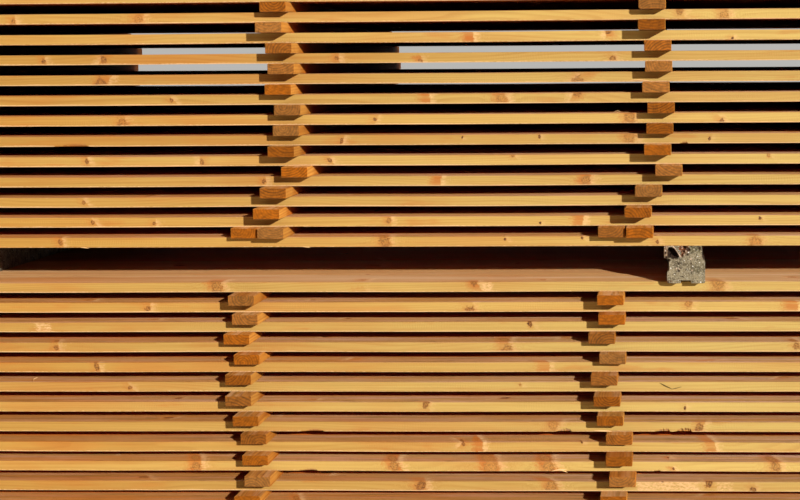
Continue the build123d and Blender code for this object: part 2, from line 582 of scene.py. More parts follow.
class SawnWood:
    """Sawn softwood: edges golden, wide faces weathered, ends darker, with knots and fuzz, and a warm
    orange glow painted into the shade deep in the pack.

    It reads the attributes "log", "knot", "kind", "tone" and "arris" of the mesh.
    """

    def __init__(self, finish: WoodFinish, effects: Effects) -> None:
        """Starts the material and places the shared effects in it.

        Args:
            finish: The colours and the figure.
            effects: The shared groups.
        """
        self.finish = finish
        self.material, self.w, self.shader = new_material(finish.name)
        w = self.w
        self.place = w.attribute("log").outputs["Vector"]
        self.light, self.warm, self.grey = w.parts(w.attribute("tone").outputs["Vector"])
        normal = w.add("ShaderNodeTexCoord").outputs["Normal"]
        self.side = effects.sides.place(w, Normal=normal, Along=finish.along)
        self.knot = effects.knots.place(w, Knot=w.attribute("knot").outputs["Vector"],
                                        Kind=w.attribute("kind").outputs["Vector"])
        self.late = effects.rings.place(w, Log=self.place, Swell=self.knot["Swell"],
                                        Spacing=finish.ring_spacing)["Late"]
        self.fibre = effects.fibres.place(w, Log=self.place)
        self.saw = effects.saw.place(w, Log=self.place)["Height"]
        crack = effects.checks.place(w, Log=self.place)["Crack"]
        self.crack = w.times(crack, self.side["End"])
        self.fuzz = w.streaks(self.place, FUZZ)

    def side_colour(self) -> bpy.types.NodeSocket:
        """The colour of the edges and the wide faces, without knots."""
        w, finish = self.w, self.finish
        broad = w.fade(self.fibre["Broad"], 0.35, 0.70)
        figure = w.plus(w.times(self.late, finish.ring_strength),
                        w.times(broad, finish.broad_share), clamp=True)
        edge = w.mix(w.times(figure, finish.edge_share), paint(finish.pale), paint(finish.deep))
        face = w.mix(figure, paint(finish.face_pale), paint(finish.face_deep))
        for streaks, share, stain in ((ROSY, finish.rosy_share, finish.rosy),
                                      (OLIVE, finish.olive_share, finish.olive),
                                      (MARKS, finish.mark_share, finish.mark)):
            face = w.mix(w.times(w.streaks(self.place, streaks), share), face, paint(stain))
        open_face = w.mix(figure, paint(finish.open_pale), paint(finish.open_deep))
        face = w.mix(w.fade(self.grey, 0.7, 1.2), face, open_face)
        bloom = w.times(w.streaks(self.place, BLOOM), w.times(self.grey, finish.grime_share),
                        clamp=True)
        face = w.mix(bloom, face, paint(finish.grime))
        colour = w.mix(self.side["Wide"], edge, face)
        # Where the warmth goes past one, the wood is painted strong orange: a painted glow of bounce
        # light in the shade deep in the pack.
        colour = w.mix(w.fade(self.warm, 1.1, 2.0), colour, paint(finish.covered_shade_glow))
        gold = w.mix(w.times(self.warm, 1.0, clamp=True), WHITE, paint(finish.gold))
        return w.mix(1.0, colour, gold, "MULTIPLY")

    def with_knots(self, colour: object) -> bpy.types.NodeSocket:
        """This colour with patches of resin, the stain round knots, and the knots."""
        w, finish, knot = self.w, self.finish, self.knot
        tint = knot["Tint"]
        blush = w.times(w.fade(self.fibre["Patch"], 0.44, 0.68), w.between(self.warm, 0.25, 1.0))
        blush = w.plus(blush, w.times(self.fibre["Resin"], finish.resin_share), clamp=True)
        colour = w.mix(w.times(blush, finish.blush_share), colour, paint(finish.resin))
        grain = w.between(w.fade(self.fibre["Broad"], 0.3, 0.7), 0.55, 1.0)
        stain = w.times(w.times(knot["Stain"], grain), finish.stain_share)
        colour = w.mix(w.times(knot["Pale"], finish.pale_share), colour, paint(finish.fuzz))
        colour = w.mix(stain, colour, paint(finish.resin))
        heart = w.mix(tint, paint(finish.heart), paint(finish.dead_heart))
        heart = w.mix(w.times(knot["Rings"], finish.heart_share), heart, paint(finish.heart_ring))
        colour = w.mix(w.times(knot["Core"], w.between(tint, 0.45, 0.9)), colour, heart)
        bark = w.mix(tint, paint(finish.bark), paint(finish.dead_bark))
        colour = w.mix(w.times(knot["Rim"], w.between(tint, 0.22, 0.75)), colour, bark)
        dead = w.times(knot["Dead"], w.between(tint, 0.25, 0.95))
        return w.mix(dead, colour, paint(finish.dead_bark))

    def end_colour(self) -> bpy.types.NodeSocket:
        """The colour of a sawn end: its rings, grey weather and clouds."""
        w, finish = self.w, self.finish
        figure = w.times(w.times(self.late, finish.end_strength),
                         w.between(self.grey, 0.08, 1.15), clamp=True)
        end = w.mix(figure, paint(finish.end_pale), paint(finish.end_deep))
        weather = w.times(w.fade(self.grey, 0.50, 0.85), finish.end_grime_share)
        end = w.mix(weather, end, paint(finish.grime))
        cloud = w.noise(w.stretched(self.place, 3.0, 95.0, 140.0), 1.0, 3, 0.6, unseen=1)
        return w.scaled(end, w.between(w.fade(cloud, 0.30, 0.70), 0.74, 1.16))

    def height(self) -> bpy.types.NodeSocket:
        """The relief: fibres, the saw's ripple and fuzz, and on sticks their rings and knots."""
        w, finish = self.w, self.finish
        height = w.times(self.fibre["Fine"], finish.fibre_height)
        height = w.plus(height, w.times(self.saw, finish.saw_height))
        for figure, share in ((self.late, finish.ring_height),
                              (self.knot["Core"], finish.knot_height)):
            if share:
                height = w.plus(height, w.times(figure, share))
        return w.plus(height, w.times(self.fuzz, w.between(self.side["Wide"], 0.4, 1.6)))

    def build(self) -> bpy.types.Material:
        """Wires the shader and returns the material."""
        w, finish = self.w, self.finish
        colour = self.with_knots(self.side_colour())
        arris = w.attribute("arris").outputs["Fac"]
        torn = w.fade(w.plus(self.fuzz, w.times(arris, 0.75)), 0.72, 1.0)
        colour = w.mix(w.times(torn, finish.torn_share), colour, paint(finish.fuzz))
        colour = w.mix(self.side["End"], colour, self.end_colour())
        colour = w.mix(w.times(self.crack, finish.crack_share), colour, paint(finish.crack))
        fine = w.between(self.fibre["Fine"], 0.90, 1.10)
        w.put(w.scaled(colour, w.times(self.light, fine)), self.shader.inputs["Base Color"])
        w.put(w.between(self.fibre["Fine"], *finish.roughness), self.shader.inputs["Roughness"])
        bump = w.add("ShaderNodeBump", {
            "Height": self.height(), "Strength": finish.bump, "Distance": BUMP_DISTANCE})
        w.put(bump.outputs["Normal"], self.shader.inputs["Normal"])
        self.shader.inputs["Specular IOR Level"].default_value = finish.gloss
        self.shader.inputs["Diffuse Roughness"].default_value = finish.matt
        return self.material


def moulded_material(finish: MouldedFinish, effects: Effects) -> bpy.types.Material:
    """Cast mixed plastic: mottled, flecked and pitted, brown where it has broken, with painted shade
    in its hollow, pits and ledge.

    Args:
        finish: The colours.
        effects: The shared groups.

    Returns:
        The material, which reads Object coordinates and the attribute "broken": how
        much each place is hollow and painted with dark shade, chipped (below zero where it is mossy)
        and rim.
    """
    material, w, shader = new_material(finish.name)
    place = w.add("ShaderNodeTexCoord").outputs["Object"]
    hollow, chip, rim = w.parts(w.attribute("broken").outputs["Vector"])
    coarse = effects.grime.place(w, Place=place, Speck=210.0)
    fine = effects.grime.place(w, Place=place, Speck=560.0)
    mottle = w.noise(place, 46.0, 4, 0.65)
    grain = w.noise(place, 340.0, 3, 0.7)
    colour = w.mix(w.fade(mottle, 0.34, 0.66), paint(finish.dark), paint(finish.body))
    colour = w.mix(w.fade(grain, 0.48, 0.70), colour, paint(finish.pale))
    colour = w.mix(w.times(coarse["Bloom"], 0.35), colour, paint(finish.olive))
    colour = w.mix(fine["Pits"], colour, paint(finish.pit))
    colour = w.mix(w.times(coarse["Pits"], 0.7), colour, paint(finish.pit))
    colour = w.mix(fine["Specks"], colour, paint(finish.fleck))
    colour = w.mix(w.times(coarse["Specks"], 0.75), colour, paint(finish.pale))
    clots = w.noise(place, 230.0, 2, 0.6)
    broken = w.mix(w.fade(chip, 0.02, -0.02), paint(finish.chip), paint(finish.olive))
    broken = w.mix(w.fade(clots, 0.53, 0.60), broken, paint(finish.pit))
    broken = w.mix(w.fade(clots, 0.44, 0.37), broken, paint(finish.pale))
    colour = w.mix(w.times(w.number("ABSOLUTE", chip), 0.90), colour, broken)
    colour = w.mix(w.times(rim, 0.90), colour, paint(finish.rim))
    colour = w.mix(coarse["Flecks"], colour, paint(finish.fleck))
    # Painted shade: the hollow, the pits and the ledge get a near black brown.
    colour = w.mix(w.times(hollow, 0.92), colour, paint(finish.hollow))
    w.put(colour, shader.inputs["Base Color"])
    w.put(w.between(grain, finish.roughness - 0.12, finish.roughness + 0.14),
          shader.inputs["Roughness"])
    height = w.plus(w.times(mottle, 1.2), w.times(grain, 0.7))
    height = w.minus(height, w.times(fine["Pits"], 0.9))
    height = w.minus(height, w.times(coarse["Pits"], 1.1))
    bump = w.add("ShaderNodeBump", {
        "Height": height, "Strength": finish.bump, "Distance": BUMP_DISTANCE})
    w.put(bump.outputs["Normal"], shader.inputs["Normal"])
    shader.inputs["Specular IOR Level"].default_value = finish.gloss
    return material


# Surfaces


@dataclass
class Shell:
    """One closed surface with the values its finish reads."""

    points: np.ndarray
    quads: np.ndarray
    tris: np.ndarray
    by_point: dict[str, np.ndarray] = field(default_factory=dict)
    by_corner: dict[str, np.ndarray] = field(default_factory=dict)

    def corners(self) -> np.ndarray:
        """The point of every corner, four-sided faces first."""
        return np.concatenate([self.quads.ravel(), self.tris.ravel()])

    def face_outward(self) -> None:
        """Turns the faces round where the volume they close comes out negative.

        The volume is a sixth of the sum of each triangle's triple product.
        """
        fans = np.concatenate([self.quads[:, [0, 1, 2]], self.quads[:, [0, 2, 3]], self.tris])
        a, b, c = (self.points[fans[:, i]] - self.points[0] for i in range(3))
        if np.einsum("ij,ij->", a, np.cross(b, c)) < 0:
            self.quads = self.quads[:, ::-1]
            self.tris = self.tris[:, ::-1]


def carried(sections: np.ndarray) -> Shell:
    """A ring of points carried from station to station and closed at both ends by fans.

    Args:
        sections: Stations by ring points by three.

    Returns:
        The closed shell. The two middles of the ends are its last points.
    """
    stations, ring, _ = sections.shape
    grid = np.arange(stations * ring).reshape(stations, ring)
    turned = np.roll(grid, -1, axis=1)
    quads = np.stack([grid[:-1], turned[:-1], turned[1:], grid[1:]], axis=-1).reshape(-1, 4)
    first, last = stations * ring, stations * ring + 1
    start = np.stack([np.full(ring, first), turned[0], grid[0]], axis=-1)
    end = np.stack([np.full(ring, last), grid[-1], turned[-1]], axis=-1)
    middles = sections[[0, -1]].mean(axis=1)
    points = np.concatenate([sections.reshape(-1, 3), middles])
    shell = Shell(points, quads, np.concatenate([start, end]))
    shell.face_outward()
    return shell


def joined(name: str, shells: list[Shell], sharp: float) -> bpy.types.Object:
    """Puts shells into one mesh object at the origin.

    Args:
        name: The object's name.
        shells: The closed surfaces, in the frame's own coordinates.
        sharp: The angle in degrees from which an edge stays crisp.

    Returns:
        The object, in the scene.
    """
    starts = np.cumsum([0] + [len(shell.points) for shell in shells[:-1]])
    points = np.concatenate([shell.points for shell in shells])
    corners = np.concatenate([shell.corners() + start for shell, start in zip(shells, starts)])
    totals = np.concatenate([
        np.repeat([4, 3], [len(shell.quads), len(shell.tris)]) for shell in shells])
    mesh = bpy.data.meshes.new(name)
    mesh.vertices.add(len(points))
    mesh.vertices.foreach_set("co", points.astype(np.float32).ravel())
    mesh.loops.add(len(corners))
    mesh.loops.foreach_set("vertex_index", corners.astype(np.int32))
    mesh.polygons.add(len(totals))
    mesh.polygons.foreach_set("loop_start", (np.cumsum(totals) - totals).astype(np.int32))
    mesh.polygons.foreach_set("use_smooth", np.ones(len(totals), dtype=bool))
    mesh.update(calc_edges=True)
    mesh.validate()
    for domain, bags in (("POINT", [s.by_point for s in shells]),
                         ("CORNER", [s.by_corner for s in shells])):
        for label in bags[0]:
            values = np.concatenate([bag[label] for bag in bags]).astype(np.float32)
            kind, reader = ("FLOAT", "value") if values.ndim == 1 else ("FLOAT_VECTOR", "vector")
            mesh.attributes.new(label, kind, domain).data.foreach_set(reader, values.ravel())
    mesh.set_sharp_from_angle(angle=math.radians(sharp))
    piece = bpy.data.objects.new(name, mesh)
    bpy.context.collection.objects.link(piece)
    return piece


def drift(where: np.ndarray, period: float, rng: np.random.Generator) -> np.ndarray:
    """A smooth random line from zero to one: random heights a period apart, eased between."""
    steps = where / period
    first = int(np.floor(steps.min()))
    heights = rng.random(int(np.ceil(steps.max())) - first + 2)
    whole = np.floor(steps).astype(int)
    part = steps - whole
    part = part * part * (3 - 2 * part)
    low = whole - first
    return heights[low] * (1 - part) + heights[low + 1] * part


def lattice_noise(points: np.ndarray, cell: float, seed: int) -> np.ndarray:
    """Solid noise from zero to one.

    Every corner of a cubic lattice has a number scrambled from its place, and
    the eight round a point are blended by smooth steps.

    Args:
        points: Any number of points by three.
        cell: The lattice's spacing.
        seed: Picks another set of numbers.

    Returns:
        One number for each point.
    """
    scaled = points / cell
    corner = np.floor(scaled).astype(np.int64)
    part = scaled - corner
    part = part * part * (3 - 2 * part)
    total = np.zeros(len(points))
    for step in product((0, 1), repeat=3):
        key = (corner + step) @ np.array([73856093, 19349663, 83492791]) + seed * 2654435
        key = (key ^ (key >> 13)) * 1274126177
        value = ((key ^ (key >> 16)) & 0xFFFF) / 0xFFFF
        total += value * np.prod(np.where(step, part, 1 - part), axis=1)
    return total


# Frame's blocks


@dataclass(frozen=True)
class Block:
    """The space that the frame gives one solid."""

    low: np.ndarray
    high: np.ndarray

    @property
    def middle(self) -> np.ndarray:
        """Its middle."""
        return (self.low + self.high) / 2

    @property
    def size(self) -> np.ndarray:
        """Its three sizes."""
        return self.high - self.low


def triangles_of(node: str) -> np.ndarray:
    """The triangles of a node of the frame, as triangles by three by three."""
    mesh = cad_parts[node].data
    points = np.empty(len(mesh.vertices) * 3, dtype=np.float32)
    mesh.vertices.foreach_get("co", points)
    corners = np.empty(len(mesh.loops), dtype=np.int32)
    mesh.loops.foreach_get("vertex_index", corners)
    return points.reshape(-1, 3)[corners].reshape(-1, 3, 3).astype(float)


def parted(triangles: np.ndarray, axis: int) -> list[np.ndarray]:
    """Splits triangles where nothing crosses a plane square to this axis."""
    low = triangles[:, :, axis].min(axis=1)
    high = triangles[:, :, axis].max(axis=1)
    order = np.argsort(low, kind="stable")
    reach = np.maximum.accumulate(high[order])
    cuts = np.flatnonzero(low[order][1:] > reach[:-1] + 0.2 * MM) + 1
    return [triangles[part] for part in np.split(order, cuts)]


def blocks_of(node: str, *axes: int) -> list[Block]:
    """The blocks of a node whose solids stand apart.

    Args:
        node: The node's name.
        axes: The axes to part the solids by, one after the other.

    Returns:
        Its blocks, in order of place.
    """
    groups = [triangles_of(node)]
    for axis in axes:
        groups = [part for group in groups for part in parted(group, axis)]
    return [Block(group.min(axis=(0, 1)), group.max(axis=(0, 1))) for group in groups]


# Wood


NO_KNOT = {"knot": (9.0, 9.0, 0.0), "kind": (0.01, 0.0, 0.0)}


@dataclass(frozen=True)
class Knot:
    """A branch that comes out at this place on the surface."""

    place: tuple[float, float, float]
    radius: float
    tint: float
    smear: float = 0.5


@dataclass(frozen=True)
class Chip:
    """A piece broken out of the lower front arris, between two places along the board."""

    start: float
    end: float
    rise: float
    bite: float


def knot_values(corners: np.ndarray, station: np.ndarray, knots: list[Knot],
                pith: np.ndarray, axis: int) -> tuple[np.ndarray, np.ndarray]:
    """What a corner reads of the knot nearest to its face along the board.

    A knot's own frame has its depth along the branch, from the pith to the
    knot's place, one side along the trunk and one square to both.

    Args:
        corners: Corner positions by three.
        station: Where each corner's face stands along the board.
        knots: The board's knots.
        pith: A point on the line of the pith.
        axis: The axis that the board runs along.

    Returns:
        The offset in the knot's frame, and the radius, tint and smear, per corner.
    """
    if not knots:
        return tuple(np.tile(value, (len(corners), 1)) for value in NO_KNOT.values())
    place = np.array([knot.place for knot in knots])
    start = place.copy()
    reach = np.delete(place - pith, axis, axis=1)
    others = [i for i in range(3) if i != axis]
    start[:, others] = pith[others]
    start[:, axis] -= 0.22 * np.linalg.norm(reach, axis=1)
    depth = place - start
    depth /= np.linalg.norm(depth, axis=1, keepdims=True)
    trunk = np.zeros(3)
    trunk[axis] = 1.0
    side = trunk - depth * depth[:, [axis]]
    side /= np.linalg.norm(side, axis=1, keepdims=True)
    third = np.cross(depth, side)
    nearest = np.abs(station[:, None] - place[None, :, axis]).argmin(axis=1)
    offset = corners - start[nearest]
    inside = np.stack([
        np.einsum("ij,ij->i", offset, frame_axis[nearest]) for frame_axis in (side, third, depth)
    ], axis=1)
    kind = np.array([[knot.radius, knot.tint, knot.smear] for knot in knots])
    return inside, kind[nearest]


@dataclass
class SawnPiece:
    """A board or stick: its section is carried along it, and its wood comes from one log."""

    block: Block
    axis: int
    tone: tuple[float, float, float]
    pith: np.ndarray
    offset: float
    knots: list[Knot] = field(default_factory=list)

    def dress(self, shell: Shell, arris: np.ndarray, stations: np.ndarray, ring: int) -> Shell:
        """Gives a shell the values that the wood finish reads.

        Args:
            shell: The shell, made by carried().
            arris: How fuzzy each point is, from zero to one.
            stations: The place along the piece of each station.
            ring: The number of points in the section.

        Returns:
            The same shell.
        """
        log_place = shell.points - self.pith
        log_place[:, self.axis] = shell.points[:, self.axis] + self.offset
        if self.axis == ACROSS:
            log_place = log_place[:, [ACROSS, ALONG, UP]]
        middle = (stations[:-1] + stations[1:]) / 2
        face_at = np.concatenate([
            np.repeat(np.repeat(middle, ring), 4),
            np.repeat([middle[0], middle[-1]], 3 * ring)])
        knot, kind = knot_values(shell.points[shell.corners()], face_at, self.knots,
                                 self.pith, self.axis)
        shell.by_point = {"log": log_place, "arris": arris,
                          "tone": np.tile(self.tone, (len(shell.points), 1))}
        shell.by_corner = {"knot": knot, "kind": kind}
        return shell


@dataclass
class Board(SawnPiece):
    """One board, with its sag between sticks, its worn arrises and its chips."""

    place: Place = Place.INSIDE
    sag: float = 0.0
    rows_from: float = 0.0
    row_spacing: float = 0.880
    chips: list[Chip] = field(default_factory=list)
    torn: list[tuple[float, float, float]] = field(default_factory=list)
    seed: int = 0
    drift_tone: float = 0.0
    # How warm the shade beyond the lit depth is painted: a painted orange glow of bounce light.
    covered_glow_warmth: float = 0.0

    # How far daylight reaches in from the front, the first ring point past it, from which the shade is
    # painted with a warm orange glow, how far daylight reaches in from an end, and how warm the wood
    # looks there, with no glow painted
    LIT_DEPTH = 0.098
    FIRST_DEEP = 8
    OPEN_END = 0.25
    END_WARMTH = 0.5
    PLAIN_ARRISES = (1.4 * MM, 1.2 * MM)
    END_SHRINK = 0.9 * MM
    OUT_OF_SQUARE = 1.6 * MM
    CHIPPED = 0.5 * MM
    STEP = {Place.FRONT: 0.016, Place.BACK: 0.036, Place.OPEN_TOP: 0.036, Place.INSIDE: 0.8}

    def stations(self) -> np.ndarray:
        """Places along the board: even steps, closer at its ends and at each chip."""
        low, high = self.block.low[ALONG], self.block.high[ALONG]
        count = round((high - low) / self.STEP[self.place]) + 1
        places = [np.linspace(low, high, count)]
        if self.place is not Place.INSIDE:
            places.append([low + 1.5 * MM, high - 1.5 * MM])
        for chip in self.chips:
            places.append(np.arange(chip.start - 4 * MM, chip.end + 4 * MM, 2.5 * MM))
        return np.unique(np.concatenate(places).round(5))

    def broken_out(self, along: np.ndarray,
                   rng: np.random.Generator) -> tuple[np.ndarray, np.ndarray]:
        """How far chips raise and push back the lower front arris: steep at their right end."""
        rise, bite = np.zeros(len(along)), np.zeros(len(along))
        for chip in self.chips:
            share = np.clip((along - chip.start) / (chip.end - chip.start), 0, 1)
            form = np.minimum(share * 2.2, (1 - share) * 9.0).clip(0, 1)
            form *= 0.55 + 0.45 * rng.random(len(along))
            rise = np.maximum(rise, form * chip.rise)
            bite = np.maximum(bite, form * chip.bite)
        return rise, bite

    def plain_ring(self, flat: np.ndarray) -> list[tuple[np.ndarray, np.ndarray]]:
        """The eight points of a hidden board's section, across and up, at every station."""
        half, thickness = self.block.size[ACROSS] / 2, self.block.size[UP]
        low, top = self.PLAIN_ARRISES
        return [(flat - half + low, flat), (flat - half, flat + low),
                (flat - half, flat + (thickness - top)), (flat - half + top, flat + thickness),
                (flat + half - top, flat + thickness), (flat + half, flat + (thickness - top)),
                (flat + half, flat + low), (flat + half - low, flat)]

    def worked_ring(self, along: np.ndarray, rng: np.random.Generator) -> tuple[list, np.ndarray]:
        """The fourteen points of a worked board's section.

        Two are of the lower arris, three go up the edge, two are of the upper
        arris, two lie where the light ends, four go round the far edge and one
        lies underneath.

        Args:
            along: The stations.
            rng: The board's random numbers.

        Returns:
            The points, across and up, at every station, and how far chips raise the arris.
        """
        half, thickness = self.block.size[ACROSS] / 2, self.block.size[UP]
        flat = np.zeros(len(along))
        low_arris = (1.1 + 1.3 * drift(along, 0.05, rng)) * MM
        top_arris = (0.7 + 0.9 * drift(along, 0.08, rng)) * MM
        front = -half + 0.9 * MM * drift(along, 0.9, rng)
        skin = [0.45 * MM * drift(along, 0.045, rng) for _ in range(3)]
        rise, bite = self.broken_out(along, rng)
        edge_top = low_arris + rise + 1.7 * MM
        ring = [
            (front + low_arris + bite, 0.35 * rise),
            (front + 0.35 * bite, low_arris + rise),
            (front + skin[0], edge_top),
            (front + skin[1], np.maximum(edge_top + 0.6 * MM, 0.52 * thickness)),
            (front + skin[2], flat + thickness - 3.2 * MM),
            (front, thickness - top_arris),
            (front + top_arris, flat + thickness),
            (flat - half + self.LIT_DEPTH, flat + thickness),
            (flat - half + self.LIT_DEPTH + 14 * MM, flat + thickness),
            (half - top_arris, flat + thickness), (half + flat, thickness - top_arris),
            (half + flat, low_arris), (half - low_arris, flat),
            (flat - half + 12 * MM, flat),
        ]
        return ring, rise

    def shell(self) -> Shell:
        """The board's surface: its section, shrunk at both ends and let down by the sag."""
        rng = np.random.default_rng(self.seed)
        along = self.stations()
        width, thickness = self.block.size[ACROSS], self.block.size[UP]
        if self.place is Place.INSIDE:
            rise = np.zeros(len(along))
            ring, fuzzy = self.plain_ring(rise), np.zeros(8)
        else:
            ring, rise = self.worked_ring(along, rng)
            fuzzy = np.array([1.0, 1.0] + [0.0] * 3 + [0.35] + [0.0] * 8)
        across = np.stack([y for y, _ in ring], axis=1)
        up = np.stack([z for _, z in ring], axis=1)
        if self.place is Place.BACK:
            across = -across
        shrink = np.zeros(len(along))
        shrink[[0, -1]] = self.END_SHRINK
        across -= np.sign(across) * np.minimum(np.abs(across), shrink[:, None])
        up += np.sign(thickness / 2 - up) * shrink[:, None]
        span = (along - self.rows_from) / self.row_spacing
        fall = self.sag * np.sin(math.pi * span) ** 2
        cuts = rng.uniform(0, self.OUT_OF_SQUARE / MM, 2) * MM
        lean = across / width + 0.5
        x = np.repeat(along[:, None], across.shape[1], axis=1)
        x[0] += cuts[0] * lean[0]
        x[-1] -= cuts[1] * lean[-1]
        low = up + self.block.low[UP] - fall[:, None]
        result = carried(np.stack([x, across + self.block.middle[ACROSS], low], axis=-1))
        worn = rng.uniform(0.15, 1.0) * (0.25 + 0.75 * drift(along, 0.16, rng))
        worn = (0.35 + 0.65 * worn) * np.where(rise > self.CHIPPED, 0.35, 1.0)
        arris = worn[:, None] * fuzzy
        for start, end, strength in self.torn:
            inside = (along > start) & (along < end)
            arris[inside, :6] = np.maximum(arris[inside, :6], strength)
        self.dress(result, np.append(arris.ravel(), [0.0, 0.0]), along, across.shape[1])
        self.warm_up(result, across.shape)
        return result

    def warm_up(self, result: Shell, shape: tuple[int, int]) -> None:
        """Sets how warm the wood looks along the board and near its ends, and paints the shade deep in
        the pack with a warm orange glow.
        """
        tone, x = result.by_point["tone"], result.points[:, ALONG]
        if self.drift_tone:
            tone[:, 1] -= self.drift_tone * (x + 0.5).clip(-1.0, 0.8)
        from_middle = np.abs(x - self.block.middle[ALONG])
        near_end = self.block.size[ALONG] / 2 - from_middle < self.OPEN_END
        if self.place is Place.INSIDE:
            tone[near_end, 1] = self.END_WARMTH
        elif self.covered_glow_warmth:
            deep = np.zeros(shape, dtype=bool)
            deep[:, self.FIRST_DEEP:] = True
            deep = np.append(deep.ravel(), [False, False]) & ~near_end
            tone[deep, 1:] = (self.covered_glow_warmth, 0.0)


@dataclass
class Stick(SawnPiece):
    """One stick laid across the boards, with rounded arrises and rough-cut ends."""

    round_over: float = 2.0 * MM
    lean: float = 0.0
    # Whether the middle of the stick, deep in the pack, is painted with the orange glow of bounce
    # light in the shade.
    sheltered_glow: bool = True

    def shell(self) -> Shell:
        """The stick's surface: eight points round, carried from front to back."""
        width, thickness = self.block.size[ALONG], self.block.size[UP]
        low, high = self.block.low[ACROSS], self.block.high[ACROSS]
        stations = np.array([low, low + 2.2 * MM, low + 0.086, low + 0.200,
                             high - 0.200, high - 0.086, high - 2.2 * MM, high])
        half, r = width / 2, self.round_over
        ring = np.array([(-half + r, 0), (half - r, 0), (half, 0.8 * r), (half, thickness - 0.8 * r),
                         (half - r, thickness), (-half + r, thickness),
                         (-half, thickness - 0.8 * r), (-half, 0.8 * r)])
        sections = np.zeros((len(stations), 8, 3))
        sections[:, :, ALONG] = ring[:, 0]
        sections[:, :, UP] = ring[:, 1]
        sections[:, :, ACROSS] = stations[:, None]
        for end, sign in ((0, 1), (-1, -1)):
            inward = np.sign(sections[end, :, ALONG]) * 1.1 * MM
            sections[end, :, ALONG] -= inward
            sections[end, :, UP] += np.sign(thickness / 2 - sections[end, :, UP]) * 0.9 * MM
            tilt = self.lean * (sections[end, :, ALONG] / width + 0.5 * np.sign(self.lean))
            sections[end, :, ACROSS] += sign * np.abs(tilt)
            neighbour = 1 if end == 0 else -2
            tilt = self.lean * (sections[neighbour, :, ALONG] / width + 0.5 * np.sign(self.lean))
            sections[neighbour, :, ACROSS] += sign * np.abs(tilt)
        sections[:, :, ALONG] += self.block.middle[ALONG]
        sections[:, :, UP] += self.block.low[UP]
        result = self.dress(carried(sections), np.zeros(8 * len(stations) + 2), stations, 8)
        # The middle of an inner stick is painted strong orange: a painted glow of bounce light in the
        # shade.
        if self.sheltered_glow:
            result.by_point["tone"][3 * 8:5 * 8, 1] = BoardLayer.UNSEEN_GLOW_WARMTH
        return result


def pith_of(block: Block, axis: int, rng: np.random.Generator, near: float) -> np.ndarray:
    """A line of pith beside the piece: some way off one of its wide faces."""
    pith = block.middle.copy()
    side = ACROSS if axis == ALONG else ALONG
    pith[side] += rng.uniform(-0.42, 0.42) * block.size[side]
    pith[UP] += rng.choice([-1.0, 1.0]) * rng.uniform(near, near + 0.07)
    pith[axis] = 0.0
    return pith


